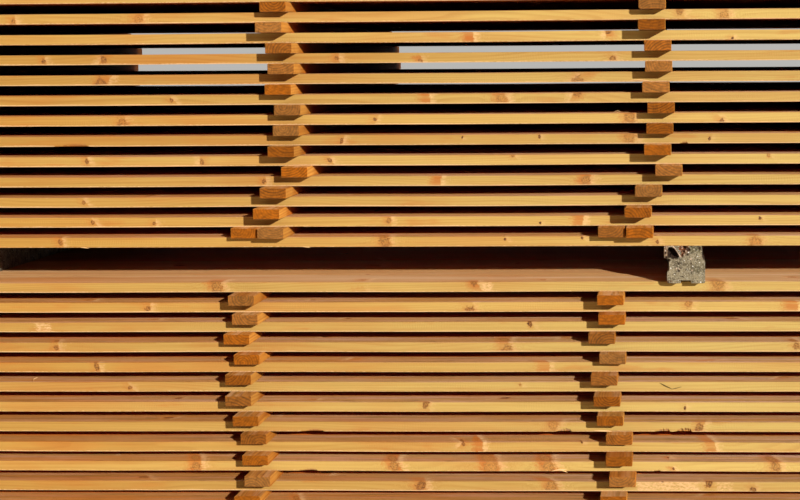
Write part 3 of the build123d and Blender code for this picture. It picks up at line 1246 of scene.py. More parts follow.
@dataclass
class BoardLayer:
    """One layer of a pack: its boards, worked as finely as each is seen."""

    pack: Pack
    layer: int
    light: dict[Pack, float] = field(
        default_factory=lambda: {Pack.LOWER: 0.99, Pack.UPPER: 1.0})
    warm: dict[Pack, float] = field(
        default_factory=lambda: {Pack.LOWER: 0.60, Pack.UPPER: 0.50})
    rows_from: dict[Pack, float] = field(
        default_factory=lambda: {Pack.LOWER: -1.820, Pack.UPPER: -1.724})

    # A warmth that paints wood deep in the pack, where it lies in shade, with a strong orange glow of
    # bounce light.
    UNSEEN_GLOW_WARMTH = 2.0

    @property
    def node(self) -> str:
        """The frame's name for this layer."""
        return f"{self.pack.value}_boards_{self.layer:02d}"

    def place_of(self, index: int, count: int) -> Place:
        """How a board is worked, by its number from the front."""
        if index == 0:
            return Place.FRONT
        if index == count - 1:
            return Place.BACK
        open_top = self.layer == LAYERS and (self.pack is Pack.UPPER or index <= 2)
        return Place.OPEN_TOP if open_top else Place.INSIDE

    def random_knots(self, board: Board, rng: np.random.Generator) -> list[Knot]:
        """Knots about every half metre, on the wide faces and sometimes on an edge."""
        block = board.block
        seen = SEEN_KNOTS.get((self.pack, self.layer), []) if board.place is Place.FRONT else []
        knots = [Knot((x, block.low[ACROSS], block.low[UP] + share * block.size[UP]),
                      radius * MM, tint, smear) for x, share, radius, tint, smear in seen]
        spots = block.low[ALONG] + 0.25 + 0.5 * np.arange(8) + rng.uniform(-0.12, 0.12, 8)
        for spot in spots:
            if knots and min(abs(spot - knot.place[0]) for knot in knots) < 0.11:
                continue
            in_view = board.place is Place.FRONT and -1.6 < spot < 0.45
            on_edge = rng.random() < 0.35 and not (in_view and seen)
            across = block.low[ACROSS] + block.size[ACROSS] * rng.uniform(0.15, 0.85)
            up = block.high[UP] if rng.random() < 0.6 else block.low[UP]
            if on_edge:
                across = block.low[ACROSS] if board.place is not Place.BACK else block.high[ACROSS]
                up = block.low[UP] + block.size[UP] * rng.uniform(0.1, 0.9)
            radius = rng.uniform(3.5, 9.0) if on_edge else rng.uniform(6.0, 15.0)
            knots.append(Knot((float(spot), float(across), float(up)), radius * MM,
                              float(rng.random() ** 1.5), float(rng.uniform(-0.7, 0.7))))
        return knots

    def boards(self) -> list[Board]:
        """The layer's boards, from the front to the back."""
        blocks = blocks_of(self.node, ACROSS)
        boards = []
        for index, block in enumerate(blocks):
            seed = 1000 * (self.pack is Pack.UPPER) + 40 * self.layer + index
            rng = np.random.default_rng(seed)
            weathered = 2.2 if self.layer == LAYERS else 0.5
            tone = (self.light[self.pack] * rng.uniform(0.95, 1.05),
                    self.warm[self.pack] * rng.uniform(0.5, 1.3),
                    weathered * rng.uniform(0.6, 1.1))
            place = self.place_of(index, len(blocks))
            # Boards inside the pack are painted with the orange glow of bounce light in the shade.
            if place is Place.INSIDE:
                tone = (tone[0], self.UNSEEN_GLOW_WARMTH, 0.0)
            bearing = self.layer == 1
            board = Board(
                block=block, axis=ALONG, tone=tone, place=place,
                pith=pith_of(block, ALONG, rng, 0.02), offset=float(rng.uniform(0, 40)),
                sag=0.0 if place is Place.INSIDE or bearing else rng.uniform(0.1, 1.1) * MM,
                rows_from=self.rows_from[self.pack], seed=seed,
                chips=SEEN_CHIPS.get((self.pack, self.layer), []) if place is Place.FRONT else [],
                torn=SEEN_TORN.get((self.pack, self.layer), []) if place is Place.FRONT else [],
                drift_tone=0.45 if place is Place.FRONT else 0.0,
                covered_glow_warmth=self.UNSEEN_GLOW_WARMTH if self.layer < LAYERS else 0.0,
            )
            board.knots = self.random_knots(board, rng)
            boards.append(board)
        return boards

    def build(self, material: bpy.types.Material) -> bpy.types.Object:
        shells = [board.shell() for board in self.boards()]
        front = blocks_of(self.node, ACROSS)[0]
        splinters = SEEN_SPLINTERS.get((self.pack, self.layer), [])
        shells += [splinter.shell(front) for splinter in splinters]
        piece = joined(f"{self.pack.value}_layer_{self.layer:02d}_sawn", shells, 32.0)
        piece.data.materials.append(material)
        return declare(piece, self.node)


@dataclass(frozen=True)
class Splinter:
    """A sliver torn from a board: thin at both ends, lifted and curled off the edge.

    Its line is a curve of the second degree from start to end, bowed by curl,
    and its width swells as a half wave from point to point.
    """

    start: tuple[float, float]
    end: tuple[float, float]
    curl: tuple[float, float]
    width: float = 1.6 * MM
    stand_off: float = 1.2 * MM
    tint: float = 1.12
    pale: float = 0.8

    def shell(self, front: Block) -> Shell:
        """The sliver as a closed flat spindle against the front edge of this board."""
        share = np.linspace(0, 1, 12)[:, None]
        start, end, curl = (np.array(pair) for pair in (self.start, self.end, self.curl))
        line = start * (1 - share) + end * share + 4 * share * (1 - share) * curl
        swell = self.width * (0.12 + np.sin(math.pi * share[:, 0]) ** 0.7)
        lift = self.stand_off * (0.6 + 2.0 * np.sin(math.pi * share[:, 0]))
        ring = np.array([(0, 1), (0.45, 0), (0, -1), (-0.45, 0)])
        sections = np.zeros((12, 4, 3))
        sections[:, :, ALONG] = line[:, [0]]
        sections[:, :, ACROSS] = (front.low[ACROSS] - lift)[:, None] + ring[:, 0] * swell[:, None]
        sections[:, :, UP] = (front.low[UP] + line[:, 1])[:, None] + ring[:, 1] * swell[:, None] / 2
        result = carried(sections)
        count = len(result.points)
        result.by_point = {
            "log": result.points.copy(), "arris": np.full(count, self.pale),
            "tone": np.tile([self.tint, 0.2, 0.0], (count, 1))}
        corners = len(result.corners())
        result.by_corner = {name: np.tile(value, (corners, 1)) for name, value in NO_KNOT.items()}
        return result


@dataclass
class StickRow:
    """One row of sticks, the ones that stand above each other in a pack."""

    pack: Pack
    row: int

    @property
    def node(self) -> str:
        """The frame's name for this row."""
        return f"{self.pack.value}_sticks_row_{self.row}"

    def build(self, material: bpy.types.Material) -> bpy.types.Object:
        shells = []
        for index, block in enumerate(blocks_of(self.node, UP, ALONG)):
            seed = 50000 + 3000 * (self.pack is Pack.UPPER) + 100 * self.row + index
            rng = np.random.default_rng(seed)
            stick = Stick(
                block=block, axis=ACROSS,
                tone=(rng.uniform(0.80, 1.16), rng.uniform(0.1, 0.9), rng.uniform(0.1, 0.85)),
                pith=pith_of(block, ACROSS, rng, 0.004), offset=float(rng.uniform(0, 40)),
                round_over=rng.choice([1.2, 1.6, 2.4, 4.5], p=[0.35, 0.35, 0.2, 0.1]) * MM,
                lean=rng.uniform(-1.8, 1.8) * MM,
                sheltered_glow=1 < self.row < STICK_ROWS,
            )
            if rng.random() < 0.5:
                up = block.high[UP] if rng.random() < 0.5 else block.low[UP]
                spot = (float(rng.uniform(block.low[0], block.high[0])),
                        float(rng.uniform(-0.9, 0.9)), float(up))
                stick.knots = [Knot(spot, rng.uniform(4, 9) * MM, float(rng.random()))]
            shells.append(stick.shell())
        piece = joined(f"{self.pack.value}_stick_row_{self.row}_laid", shells, 28.0)
        piece.data.materials.append(material)
        return declare(piece, self.node)


# Bearer


@dataclass
class Bearer:
    """A moulded bearer: its section is carried along it and its ends are rough grids.

    Across and up run from zero to one on the grid. The left and right outlines
    are functions of height, and the groove is a rise of the lower outline.
    """

    level: str
    number: int
    width: float = 98 * MM
    height: float = 90 * MM
    foot_inset: float = 7 * MM
    foot_height: float = 27 * MM
    waist_inset: float = 12 * MM
    waist_height: float = 61 * MM
    waist_slope: float = 4 * MM
    shoulder_inset: float = 7 * MM
    shoulder_height: float = 62 * MM
    shoulder_slope: float = 10 * MM
    groove: tuple[float, float] = (-9 * MM, 15 * MM)
    groove_depth: float = 7 * MM
    round_over: float = 4 * MM
    broken: bool = False

    # The skin's noise in millimetres, and the number of its dents
    SKIN_CELLS = (9, 4, 1.9)
    DENTS = 70

    # In millimetres from the middle and from the foot of the end face: the outlines of the
    # hollow and the chip, pits dented in and painted dark as painted shade, pale stones,
    # and the lines that stand proud at the broken corner.
    HOLLOW = ((-42, 60), (-42, 86), (-24, 86), (-12, 66), (-16, 60))
    CHIP = ((-19, 103), (20, 103), (-7, 65))
    PAINTED_SHADE_PITS = ((0.5, 86, 4.4), (8.3, 81, 4.8), (35.5, 83, 3.2), (-37, 55.5, 3.2), (-46, 73, 2.0),
            (-43.5, 61.5, 3.2), (-41, 1.0, 3.6), (-15, 46, 2.0), (-14, 29, 2.6), (-6, 16, 2.2),
            (15, 47, 1.8), (6, 68, 2.2))
    GLINTS = ((3, 77.6, 2.6), (14.6, 58.3, 3.0), (-19.5, 36, 2.6), (-12, 34, 2.0), (18, 31, 2.4),
              (-1.5, 69, 2.0))
    RIDGES = (((-27, 88.5), (-9.5, 64), 2.0, 1.0), ((-38, 88.6), (-27, 89), 1.6, 0.55),
              ((-43.5, 88), (-41.5, 80), 1.6, 0.6), ((-42, 62.5), (-30, 60.5), 1.2, 0.45))

    @property
    def node(self) -> str:
        """The frame's name for this bearer."""
        return f"{self.level}_bearer_{self.number}"

    def outlines(self, up: np.ndarray) -> tuple[np.ndarray, np.ndarray]:
        """The left and right outline at these heights, rounded at top and foot."""
        half, r = self.width / 2, self.round_over
        left = np.interp(up, [
            0, self.foot_height, self.foot_height + self.waist_slope,
            self.waist_height - self.waist_slope, self.waist_height, self.height,
        ], [-half + self.foot_inset] * 2 + [-half + self.waist_inset] * 2 + [-half] * 2)
        right = np.interp(up, [
            0, self.shoulder_height - self.shoulder_slope, self.shoulder_height, self.height,
        ], [half] * 2 + [half - self.shoulder_inset] * 2)
        near_end = np.minimum(up, self.height - up)
        turn = np.clip(r - near_end, 0, r)
        inset = r - np.sqrt(r * r - turn * turn)
        return left + 0.7 * inset, right - 0.7 * inset

    def foot(self, across: np.ndarray) -> np.ndarray:
        """The lower outline: up into the strap groove, with steep sides."""
        rise = np.minimum(across - self.groove[0], self.groove[1] - across)
        return self.groove_depth * np.clip(rise / (0.9 * MM) + 0.5, 0, 1)

    @staticmethod
    def convex_depth(across: np.ndarray, up: np.ndarray, outline: tuple[tuple[float, float], ...],
                     wobble: np.ndarray) -> np.ndarray:
        """How far inside a convex outline each point is, moved in or out by the wobble."""
        corners = np.array(outline) * MM
        inside = np.full(across.shape, np.inf)
        for start, end in zip(corners, np.roll(corners, -1, axis=0)):
            edge = (end - start) / np.linalg.norm(end - start)
            inside = np.minimum(inside, (across - start[0]) * edge[1] - (up - start[1]) * edge[0])
        return inside + wobble

    def front_relief(self, across: np.ndarray, up: np.ndarray,
                     seed: int) -> tuple[np.ndarray, np.ndarray]:
        """How far the end face is pushed in, and where it has broken.

        The torn skin is three sizes of noise, and pits are small round dents.

        Args:
            across: Each point's place across.
            up: Each point's height.
            seed: Picks the noise.

        Returns:
            The relief, and for each point how much it is hollow and painted with dark shade, chipped
            and rim.
        """
        flat = np.stack([across.ravel(), np.full(across.size, 0.01 * seed), up.ravel()], axis=1)
        noises = [lattice_noise(flat, cell * MM, seed + i).reshape(across.shape)
                  for i, cell in enumerate(self.SKIN_CELLS)]
        coarse, medium, fine = noises
        relief = (0.9 * coarse + 0.8 * medium + 0.6 * fine) * MM
        rng = np.random.default_rng(seed)
        centres = rng.uniform([-0.047, 0.002], [0.047, 0.088], (self.DENTS, 2))
        radii = rng.uniform(0.9, 2.6, self.DENTS) * MM
        for (x, z), radius in zip(centres, radii):
            gap = ((across - x) ** 2 + (up - z) ** 2) / radius ** 2
            relief += 0.9 * radius * np.exp(-gap * 1.6)
        if self.broken:
            return self.breakage(across, up, relief, noises)
        return relief, np.zeros(across.shape + (3,))

    def breakage(self, across: np.ndarray, up: np.ndarray, relief: np.ndarray,
                 noises: list[np.ndarray]) -> tuple[np.ndarray, np.ndarray]:
        """Adds the broken corner to the relief.

        The hollow and the chip get deeper with the distance from their outlines.
        The rest of the right side crumbles, and so do the left lip and foot. The hollow and
        the pits are marked for a near black brown, which is painted shade.

        Args:
            across: Each point's place across.
            up: Each point's height.
            relief: The relief of the whole skin.
            noises: The skin's coarse, medium and fine noise.

        Returns:
            The relief, and for each point how much it is hollow, chipped and rim.
        """
        coarse, medium, fine = noises
        marks = np.zeros(across.shape + (3,))
        wobble = ((coarse - 0.5) * 6.0 + (medium - 0.5) * 5.0 + (fine - 0.5) * 3.0) * MM
        hollow = self.convex_depth(across, up, self.HOLLOW, wobble)
        chip = self.convex_depth(across, up, self.CHIP, wobble)
        hollow_in = np.clip(hollow * 4.7, 0, 36 * MM)
        chip_in = np.clip(chip * 2.2, 0, 11 * MM)
        crumb = np.clip((up - 0.068 + 0.012 * (coarse - 0.5)) / 0.010, 0, 1)
        crumb *= np.clip((across + 0.006) / 0.012, 0, 1)
        relief = relief + np.maximum(hollow_in, chip_in) + crumb * (
            1.0 + 8.0 * coarse * medium + 3.0 * fine * medium) * MM
        marks[..., 0] = np.clip(hollow / (1.2 * MM), 0, 1)
        marks[..., 1] = np.maximum(np.clip(chip / MM, 0, 1), 0.75 * crumb)
        mossy = across > 0.009 - 0.016 * (coarse - 0.5)
        lip = (across < -0.0405) & (up > 0.060) | (across < -0.030) & (up < 0.007)
        marks[..., 1] = np.where(lip, 0.5, marks[..., 1])
        marks[..., 1] *= np.where(mossy | lip & (coarse > 0.5), -1, 1)
        relief = relief + lip * 5.0 * medium * MM
        # Each pit is dented in and painted with the hollow's near black brown: painted shade.
        for x, z, radius in self.PAINTED_SHADE_PITS:
            gap = np.hypot(across - x * MM, up - z * MM) + 0.25 * wobble
            dark = np.clip(3.0 * (1 - gap / (radius * MM)), 0, 1)
            marks[..., 0] = np.maximum(marks[..., 0], dark)
            relief = relief + 1.5 * radius * MM * dark
        ridge = np.zeros(across.shape)
        for start, end, half, strength in self.RIDGES:
            gap = self.line_gap(across, up, start, end) + 0.12 * wobble
            ridge = np.maximum(ridge, strength * np.clip((half * MM - gap) / (0.9 * MM), 0, 1))
        for x, z, radius in self.GLINTS:
            gap = np.hypot(across - x * MM, up - z * MM) / (radius * MM)
            ridge = np.maximum(ridge, np.clip(2.5 * (1 - gap), 0, 1))
        marks[..., 0] *= 1 - ridge
        marks[..., 2] = ridge * (0.75 + 0.25 * coarse)
        return relief * (1 - 0.8 * ridge), marks

    @staticmethod
    def line_gap(across: np.ndarray, up: np.ndarray, start: tuple[float, float],
                 end: tuple[float, float]) -> np.ndarray:
        """How far each point is from the line between two points given in millimetres."""
        begin, run = np.array(start) * MM, (np.array(end) - start) * MM
        share = ((across - begin[0]) * run[0] + (up - begin[1]) * run[1]) / (run @ run)
        share = np.clip(share, 0, 1)
        return np.hypot(across - begin[0] - share * run[0], up - begin[1] - share * run[1])

    def shell(self, block: Block, seed: int) -> Shell:
        """The bearer's surface: a rough grid at each end and skin carried between them."""
        fine = self.broken
        columns, rows, steps = (99, 91, 44) if fine else (29, 27, 34)
        u, v = np.meshgrid(np.linspace(0, 1, columns), np.linspace(0, 1, rows), indexing="ij")
        low_left, low_right = self.outlines(np.zeros(1))
        across_foot = low_left + u * (low_right - low_left)
        foot = self.foot(across_foot)
        up = foot + v * (self.height - foot)
        left, right = self.outlines(up)
        across = left + u * (right - left)
        length = block.size[ACROSS]
        front, marks = self.front_relief(across, up, seed)
        back, _ = self.front_relief(across, up, seed + 7) if not fine else (
            Bearer(self.level, self.number).front_relief(across, up, seed + 7))
        grid = np.arange(columns * rows).reshape(columns, rows)
        edge = np.concatenate([grid[:-1, 0], grid[-1, :-1], grid[:0:-1, -1], grid[0, :0:-1]])
        flat_across, flat_up = across.ravel(), up.ravel()
        share = np.linspace(0, 1, steps + 1)[1:-1]
        share = 0.5 - 0.5 * np.cos(math.pi * share)
        if fine:
            share = np.unique(np.concatenate([share, [0.0012, 0.003, 0.006, 0.010, 0.016, 0.024]]))
        depth_front = front.ravel()[edge]
        depth_back = length - back.ravel()[edge]
        deep = depth_front + share[:, None] * (depth_back - depth_front)
        ring = np.stack(np.broadcast_arrays(flat_across[edge], deep, flat_up[edge]), axis=-1)
        worn = lattice_noise(ring.reshape(-1, 3), 14 * MM, seed + 3).reshape(deep.shape)
        worn = worn * 0.9 * MM + 0.5 * MM * lattice_noise(
            ring.reshape(-1, 3), 5 * MM, seed + 4).reshape(deep.shape)
        centre = np.array([0.0, self.height / 2])
        inward = centre - np.stack([flat_across[edge], flat_up[edge]], axis=-1)
        inward /= np.linalg.norm(inward, axis=1, keepdims=True)
        ease = np.minimum(1.0, share * (1 - share) * 400)[:, None] * worn
        ring[..., 0] += inward[:, 0] * ease
        ring[..., 2] += inward[:, 1] * ease * (np.abs(inward[:, 1]) < 0.9)
        caps = [np.stack([flat_across, depth, flat_up], axis=-1)
                for depth in (front.ravel(), length - back.ravel())]
        points = np.concatenate([caps[0], caps[1], ring.reshape(-1, 3)])
        size = columns * rows
        rings = 2 * size + np.arange(len(share) * len(edge)).reshape(len(share), len(edge))
        chain = np.concatenate([edge[None], rings, (size + edge)[None]])
        turned = np.roll(chain, -1, axis=1)
        skin = np.stack([chain[:-1], chain[1:], turned[1:], turned[:-1]], axis=-1).reshape(-1, 4)
        cell = np.stack([grid[:-1, :-1], grid[1:, :-1], grid[1:, 1:], grid[:-1, 1:]], axis=-1)
        cell = cell.reshape(-1, 4)
        quads = np.concatenate([cell, (cell + size)[:, ::-1], skin[:, ::-1]])
        points += [block.middle[ALONG], block.low[ACROSS], block.low[UP]]
        broken = np.zeros((len(points), 3))
        broken[:size] = marks.reshape(-1, 3)
        if fine:
            # The ledge behind the shoulder is painted with the hollow's near black brown: painted
            # shade.
            painted_shade_ledge = (ring[..., 0] > self.width / 2 - self.shoulder_inset - MM) & (ring[..., 2] > 0.053)
            broken[2 * size:, 0] = 0.9 * painted_shade_ledge.ravel()
        result = Shell(points, quads, np.empty((0, 3), dtype=int), {"broken": broken})
        result.face_outward()
        return result

    def build(self, material: bpy.types.Material) -> bpy.types.Object:
        block = blocks_of(self.node)[0]
        seed = 900 + 10 * self.number + 100 * (self.level == "middle")
        piece = joined(f"{self.level}_bearer_{self.number}_moulded", [self.shell(block, seed)], 38.0)
        piece.data.materials.append(material)
        return declare(piece, self.node)


def declare(piece: bpy.types.Object, node: str) -> bpy.types.Object:
    """Says which body carries a piece and which node it stands for, and hides that node's frame part.
    """
    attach(piece, "root")
    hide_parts(node)
    log.info("%s: %d faces, stands for %s", piece.name, len(piece.data.polygons), node)
    return piece


# Marks seen on the front edges
# Knots on front edges: place along X, share of the edge's height, radius in
# millimetres, tint from fresh orange (0) to dark and dead (1), and how much the
# stain spreads, to the left above zero and to the right below.

SEEN_KNOTS: dict[tuple[Pack, int], list[tuple[float, float, float, float, float]]] = {
    (Pack.UPPER, 12): [(-1.50, 0.3, 6, 0.3, 0.5), (0.10, 0.8, 9, 0.2, 0.4),
                       (0.205, 0.4, 12, 0.0, 0.6)],
    (Pack.UPPER, 11): [(-0.400, 0.5, 9, -1.0, 1.0), (-0.07, 0.95, 8, 0.4, -0.9),
                       (0.225, 0.15, 3, 0.9, 0.6)],
    (Pack.UPPER, 10): [(-1.43, 0.4, 5, 0.5, 0.5), (-0.72, 0.5, 5, 0.3, 0.6),
                       (-0.52, 0.2, 5, 0.3, 0.9), (-0.06, 0.2, 8, 0.3, 0.2)],
    (Pack.UPPER, 8): [(-1.12, 0.5, 5, 0.5, 0.4), (-0.505, 0.5, 8, -1.0, 0.9),
                      (-0.325, 0.5, 12, 0.0, 0.9), (-0.145, 0.98, 9, 0.3, -0.7)],
    (Pack.UPPER, 7): [(-0.63, 0.5, 5, 0.4, 0.4), (-0.02, 0.6, 13, 0.15, 0.7),
                      (0.20, 0.12, 6, 0.6, 0.5)],
    (Pack.UPPER, 6): [(-0.71, 0.5, 4, 0.5, 0.5), (-0.42, 0.75, 2.2, 0.9, 0.1),
                      (-0.235, 0.8, 2.8, 0.9, 0.2), (-0.02, 0.7, 14, 0.0, 0.6),
                      (0.17, 0.5, 3, 0.8, 0.2)],
    (Pack.UPPER, 5): [(-1.33, 0.5, 5, 0.5, 0.5), (-1.05, 0.4, 5, 0.4, -0.5),
                      (-0.74, 0.5, 5, 0.4, 0.5), (-0.30, 0.9, 4, 0.3, 0.2),
                      (0.31, 0.8, 4, 0.1, 0.1)],
    (Pack.UPPER, 4): [(-0.90, 0.5, 5, 0.5, 0.5), (-0.48, 0.5, 8, -1.0, 1.0),
                      (-0.125, 0.5, 11, 0.2, 1.0)],
    (Pack.UPPER, 3): [(-1.34, 0.5, 5, 0.5, 0.4)],
    (Pack.UPPER, 2): [(-1.32, 0.5, 5, 0.5, 0.4), (-1.17, 0.4, 4, 0.6, 0.4),
                      (-0.60, 0.6, 6, 0.3, 0.6), (-0.235, 0.3, 2.4, 1.0, 0.1),
                      (-0.140, 0.6, 8, -1.0, 1.0), (0.29, 0.7, 3.5, 0.9, 0.1)],
    (Pack.UPPER, 1): [(-1.40, 0.5, 6, 0.5, 0.5), (-0.61, 0.5, 14, 0.25, 0.4),
                      (-0.32, 0.7, 3.2, 0.9, 0.1), (-0.135, 0.8, 3.4, 0.9, 0.1),
                      (0.045, 0.4, 3.8, 0.7, 0.3), (0.28, 0.2, 15, 0.05, 0.2)],
    (Pack.LOWER, 20): [(-1.03, 0.5, 15, 0.15, 0.8), (-0.40, 0.95, 9, 0.3, 0.8),
                       (0.19, 0.85, 18, 0.1, 0.5)],
    (Pack.LOWER, 19): [(-1.20, 0.4, 6, 0.4, 0.5), (-0.41, 0.0, 13, 0.35, 0.3),
                       (0.12, 0.9, 9, 0.1, 0.4), (0.370, 0.5, 14, -1.0, 0.9)],
    (Pack.LOWER, 18): [(-0.265, 0.78, 5.5, 0.75, 0.05)],
    (Pack.LOWER, 17): [(-1.43, 0.4, 6, 0.4, 0.5), (-0.32, 0.1, 14, 0.2, 0.7),
                       (0.38, 0.55, 9, 0.3, 0.4)],
    (Pack.LOWER, 16): [(-1.33, 0.5, 6, 0.4, 0.5), (-0.230, 0.5, 12, -1.0, 0.7)],
    (Pack.LOWER, 15): [(-1.25, 0.4, 5, 0.5, 0.4), (-0.29, 0.7, 3, 0.3, 0.2)],
    (Pack.LOWER, 14): [(-0.52, 0.95, 8, 0.5, 0.3), (0.11, 0.4, 3, 0.9, 0.2)],
    (Pack.LOWER, 13): [(-0.21, 0.8, 14, 0.0, 0.4), (0.145, 0.45, 10, 0.35, 0.6)],
    (Pack.LOWER, 12): [(-0.43, 0.75, 4.5, 0.6, -0.5), (-0.390, 0.5, 8, -1.0, 1.0),
                       (-0.14, 0.92, 2.4, 0.9, 0.1), (0.175, 0.5, 9, -1.0, 0.8)],
    (Pack.LOWER, 11): [(-1.09, 0.4, 12, 0.2, 0.9), (-0.60, 0.5, 13, 0.2, 0.9),
                       (-0.364, 0.5, 20, 0.0, 1.0), (-0.222, 0.4, 17, 0.1, 1.0),
                       (0.082, 0.25, 2.6, 0.9, 0.9), (0.33, 0.5, 13, 0.2, 0.6)],
    (Pack.LOWER, 10): [(-0.535, 0.5, 13, 0.45, 0.7), (-0.215, 0.5, 15, 0.1, 0.8),
                       (0.055, 1.0, 3, 0.9, 0.1), (0.168, 0.85, 9, 0.55, -0.3),
                       (0.275, 0.15, 8, 0.6, 0.3)],
}
SEEN_CHIPS: dict[tuple[Pack, int], list[Chip]] = {
    (Pack.UPPER, 6): [Chip(-1.412, -1.322, 3.5 * MM, 6 * MM), Chip(0.098, 0.118, 3 * MM, 5 * MM)],
    (Pack.LOWER, 13): [Chip(-0.833, -0.771, 4 * MM, 7 * MM), Chip(-0.206, -0.166, 5.5 * MM, 9 * MM),
                       Chip(0.036, 0.074, 5 * MM, 9 * MM), Chip(0.084, 0.126, 7.5 * MM, 12 * MM)],
    (Pack.LOWER, 11): [Chip(-0.838, -0.790, 3.5 * MM, 6 * MM), Chip(0.033, 0.050, 2.5 * MM, 5 * MM)],
}
# Stretches of a front edge where the fibres stand up: from, to and how much.
SEEN_TORN: dict[tuple[Pack, int], list[tuple[float, float, float]]] = {
    (Pack.LOWER, 10): [(-0.01, 0.150, 0.52), (0.180, 0.235, 0.42)],
    (Pack.LOWER, 18): [(-1.480, -1.435, 0.45)],
    (Pack.LOWER, 20): [(-0.385, -0.350, 0.50)],
}
SEEN_SPLINTERS: dict[tuple[Pack, int], list[Splinter]] = {
    (Pack.LOWER, 15): [
        Splinter((0.048, 0.022), (0.080, 0.006), (0.0, 0.0), 2.2 * MM, tint=0.22, pale=0.0),
        Splinter((0.077, 0.006), (0.103, 0.012), (0.0, 0.0), 1.7 * MM, tint=0.3, pale=0.0),
        Splinter((-1.488, 0.020), (-1.476, 0.036), (-0.006, 0.002), 1.4 * MM),
    ],
    (Pack.LOWER, 13): [
        Splinter((-0.112, 0.002), (-0.066, 0.001), (0.0, 0.001), 3.2 * MM),
    ],
    (Pack.LOWER, 11): [
        Splinter((-0.215, 0.000), (-0.178, 0.004), (0.0, 0.002), 3.0 * MM),
        Splinter((-0.200, 0.003), (-0.176, -0.003), (0.0, 0.002), 2.4 * MM),
    ],
    (Pack.UPPER, 9): [Splinter((-0.020, 0.003), (0.030, 0.001), (0.0, 0.002), 2.0 * MM)],
    (Pack.UPPER, 7): [
        Splinter((-0.060, 0.024), (-0.044, 0.031), (0.0, 0.001), 0.7 * MM),
        Splinter((-0.052, 0.024), (-0.040, 0.026), (0.0, 0.002), 0.7 * MM),
    ],
    (Pack.UPPER, 1): [
        Splinter((-1.350, 0.000), (-1.330, -0.002), (0.0, 0.001), 1.4 * MM),
        Splinter((-0.808, 0.000), (-0.790, -0.002), (0.0, 0.001), 1.4 * MM),
    ],
}


# Studio


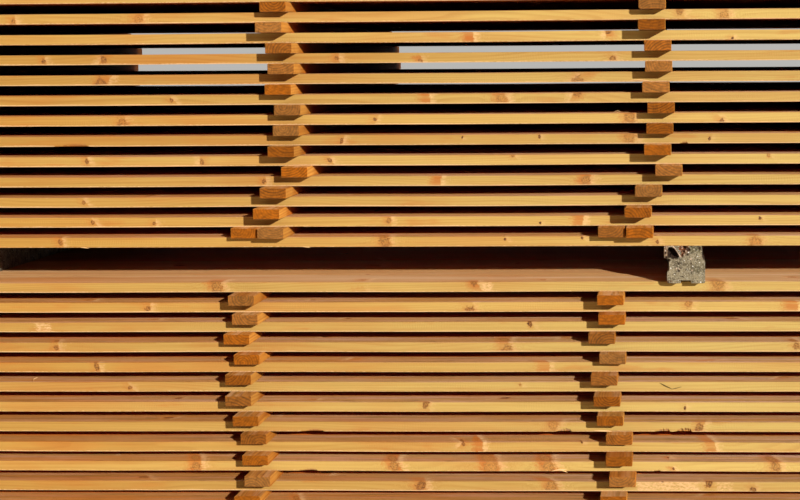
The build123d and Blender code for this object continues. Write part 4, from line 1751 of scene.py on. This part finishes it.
@dataclass
class Studio:
    """The plain pale room: floor, sky, three lamps and the camera."""

    eye: tuple[float, float, float] = (0.079, -6.5255, 1.587)
    yaw: float = -2.862
    pitch: float = -4.797
    roll: float = -0.41
    lens: float = 103.5
    shift: float = -0.19625
    sky: float = 0.08
    backdrop: float = 0.48

    def floor(self) -> None:
        """A wide pale disc under the stack."""
        angle = np.linspace(0, math.tau, 96, endpoint=False)
        rim = np.stack([14 * np.cos(angle), 14 * np.sin(angle), np.full(96, -0.0002)], axis=1)
        mesh = bpy.data.meshes.new("floor")
        mesh.from_pydata(rim.tolist(), [], [list(range(96))])
        disc = bpy.data.objects.new("floor", mesh)
        bpy.context.collection.objects.link(disc)
        material, w, shader = new_material("pale_floor")
        place = w.add("ShaderNodeTexCoord").outputs["Object"]
        mottle = w.fade(w.noise(place, 0.8, 3), 0.3, 0.7)
        w.put(w.mix(mottle, paint("dbcdb6"), paint("e0d3bd")), shader.inputs["Base Color"])
        shader.inputs["Roughness"].default_value = 0.9
        mesh.materials.append(material)

    def world(self) -> None:
        """A pale background, with a weaker even light of its own on the stack."""
        world = bpy.data.worlds.new("pale_room")
        bpy.context.scene.world = world
        world.use_nodes = True
        w = Wiring(world.node_tree)
        world.node_tree.nodes.clear()
        ray = w.add("ShaderNodeLightPath").outputs
        seen = w.number("MAXIMUM", ray["Is Camera Ray"], ray["Is Glossy Ray"])
        seen = w.number("MAXIMUM", seen, ray["Is Transmission Ray"])
        fill = w.add("ShaderNodeBackground", {"Color": (1.0, 0.74, 0.50, 1.0), "Strength": self.sky})
        pale = w.add("ShaderNodeBackground", {"Color": (1.0, 0.98, 0.93, 1.0),
                                              "Strength": self.backdrop})
        both = w.add("ShaderNodeMixShader")
        w.put(seen, both.inputs[0])
        w.put(fill.outputs[0], both.inputs[1])
        w.put(pale.outputs[0], both.inputs[2])
        w.add("ShaderNodeOutputWorld", {"Surface": both.outputs[0]})

    def lamp(self, name: str, travels: tuple[float, float, float], strength: float,
             softness: float, colour: tuple[float, float, float]) -> None:
        """A far lamp whose light travels this way, with a soft edge of some degrees."""
        light = bpy.data.lights.new(name, "SUN")
        light.energy = strength
        light.angle = math.radians(softness)
        light.color = colour
        holder = bpy.data.objects.new(name, light)
        holder.rotation_euler = Vector(travels).to_track_quat("-Z", "Y").to_euler()
        bpy.context.collection.objects.link(holder)

    def lamps(self) -> None:
        """A low key from the front right, a soft one overhead and one behind."""
        self.lamp("key", (-0.45, 1.0, -0.240), 3.12, 1.2, (1.0, 0.97, 0.92))
        self.lamp("overhead", (0.1, 0.12, -1.0), 0.62, 60.0, (1.0, 0.92, 0.82))
        self.lamp("behind", (0.55, -1.0, -0.28), 1.9, 20.0, (1.0, 0.97, 0.92))

    def camera(self) -> None:
        """The camera: forward from yaw and pitch, then rolled about it."""
        yaw, pitch, roll = (math.radians(angle) for angle in (self.yaw, self.pitch, self.roll))
        forward = Vector((math.sin(yaw) * math.cos(pitch), math.cos(yaw) * math.cos(pitch),
                          math.sin(pitch)))
        level = forward.cross(Vector((0, 0, 1))).normalized()
        above = level.cross(forward)
        right = level * math.cos(roll) + above * math.sin(roll)
        up = right.cross(forward)
        data = bpy.data.cameras.new("camera")
        data.lens = self.lens
        data.sensor_width = 36.0
        data.shift_x = self.shift
        data.clip_end = 100.0
        camera = bpy.data.objects.new("camera", data)
        turn = Matrix((right, up, -forward)).transposed().to_4x4()
        camera.matrix_world = Matrix.Translation(self.eye) @ turn
        bpy.context.collection.objects.link(camera)
        bpy.context.scene.camera = camera

    def build(self) -> None:
        """Sets up the room."""
        self.camera()
        self.floor()
        self.world()
        self.lamps()
        bpy.context.scene.view_settings.view_transform = "Standard"


def main() -> None:
    """Builds the stack, piece by piece, in its room."""
    logging.basicConfig(level=logging.INFO, format="%(message)s")
    Studio().build()
    effects = Effects()
    board_wood = SawnWood(BOARD_WOOD, effects).build()
    stick_wood = SawnWood(STICK_WOOD, effects).build()
    plastic = moulded_material(MouldedFinish(), effects)
    for pack in Pack:
        for layer in range(1, LAYERS + 1):
            BoardLayer(pack, layer).build(board_wood)
        for row in range(1, STICK_ROWS + 1):
            StickRow(pack, row).build(stick_wood)
    for level, number in product(("ground", "middle"), (1, 2, 3)):
        Bearer(level, number, broken=(level, number) == ("middle", 2)).build(plastic)


if __name__ == "__main__":
    main()
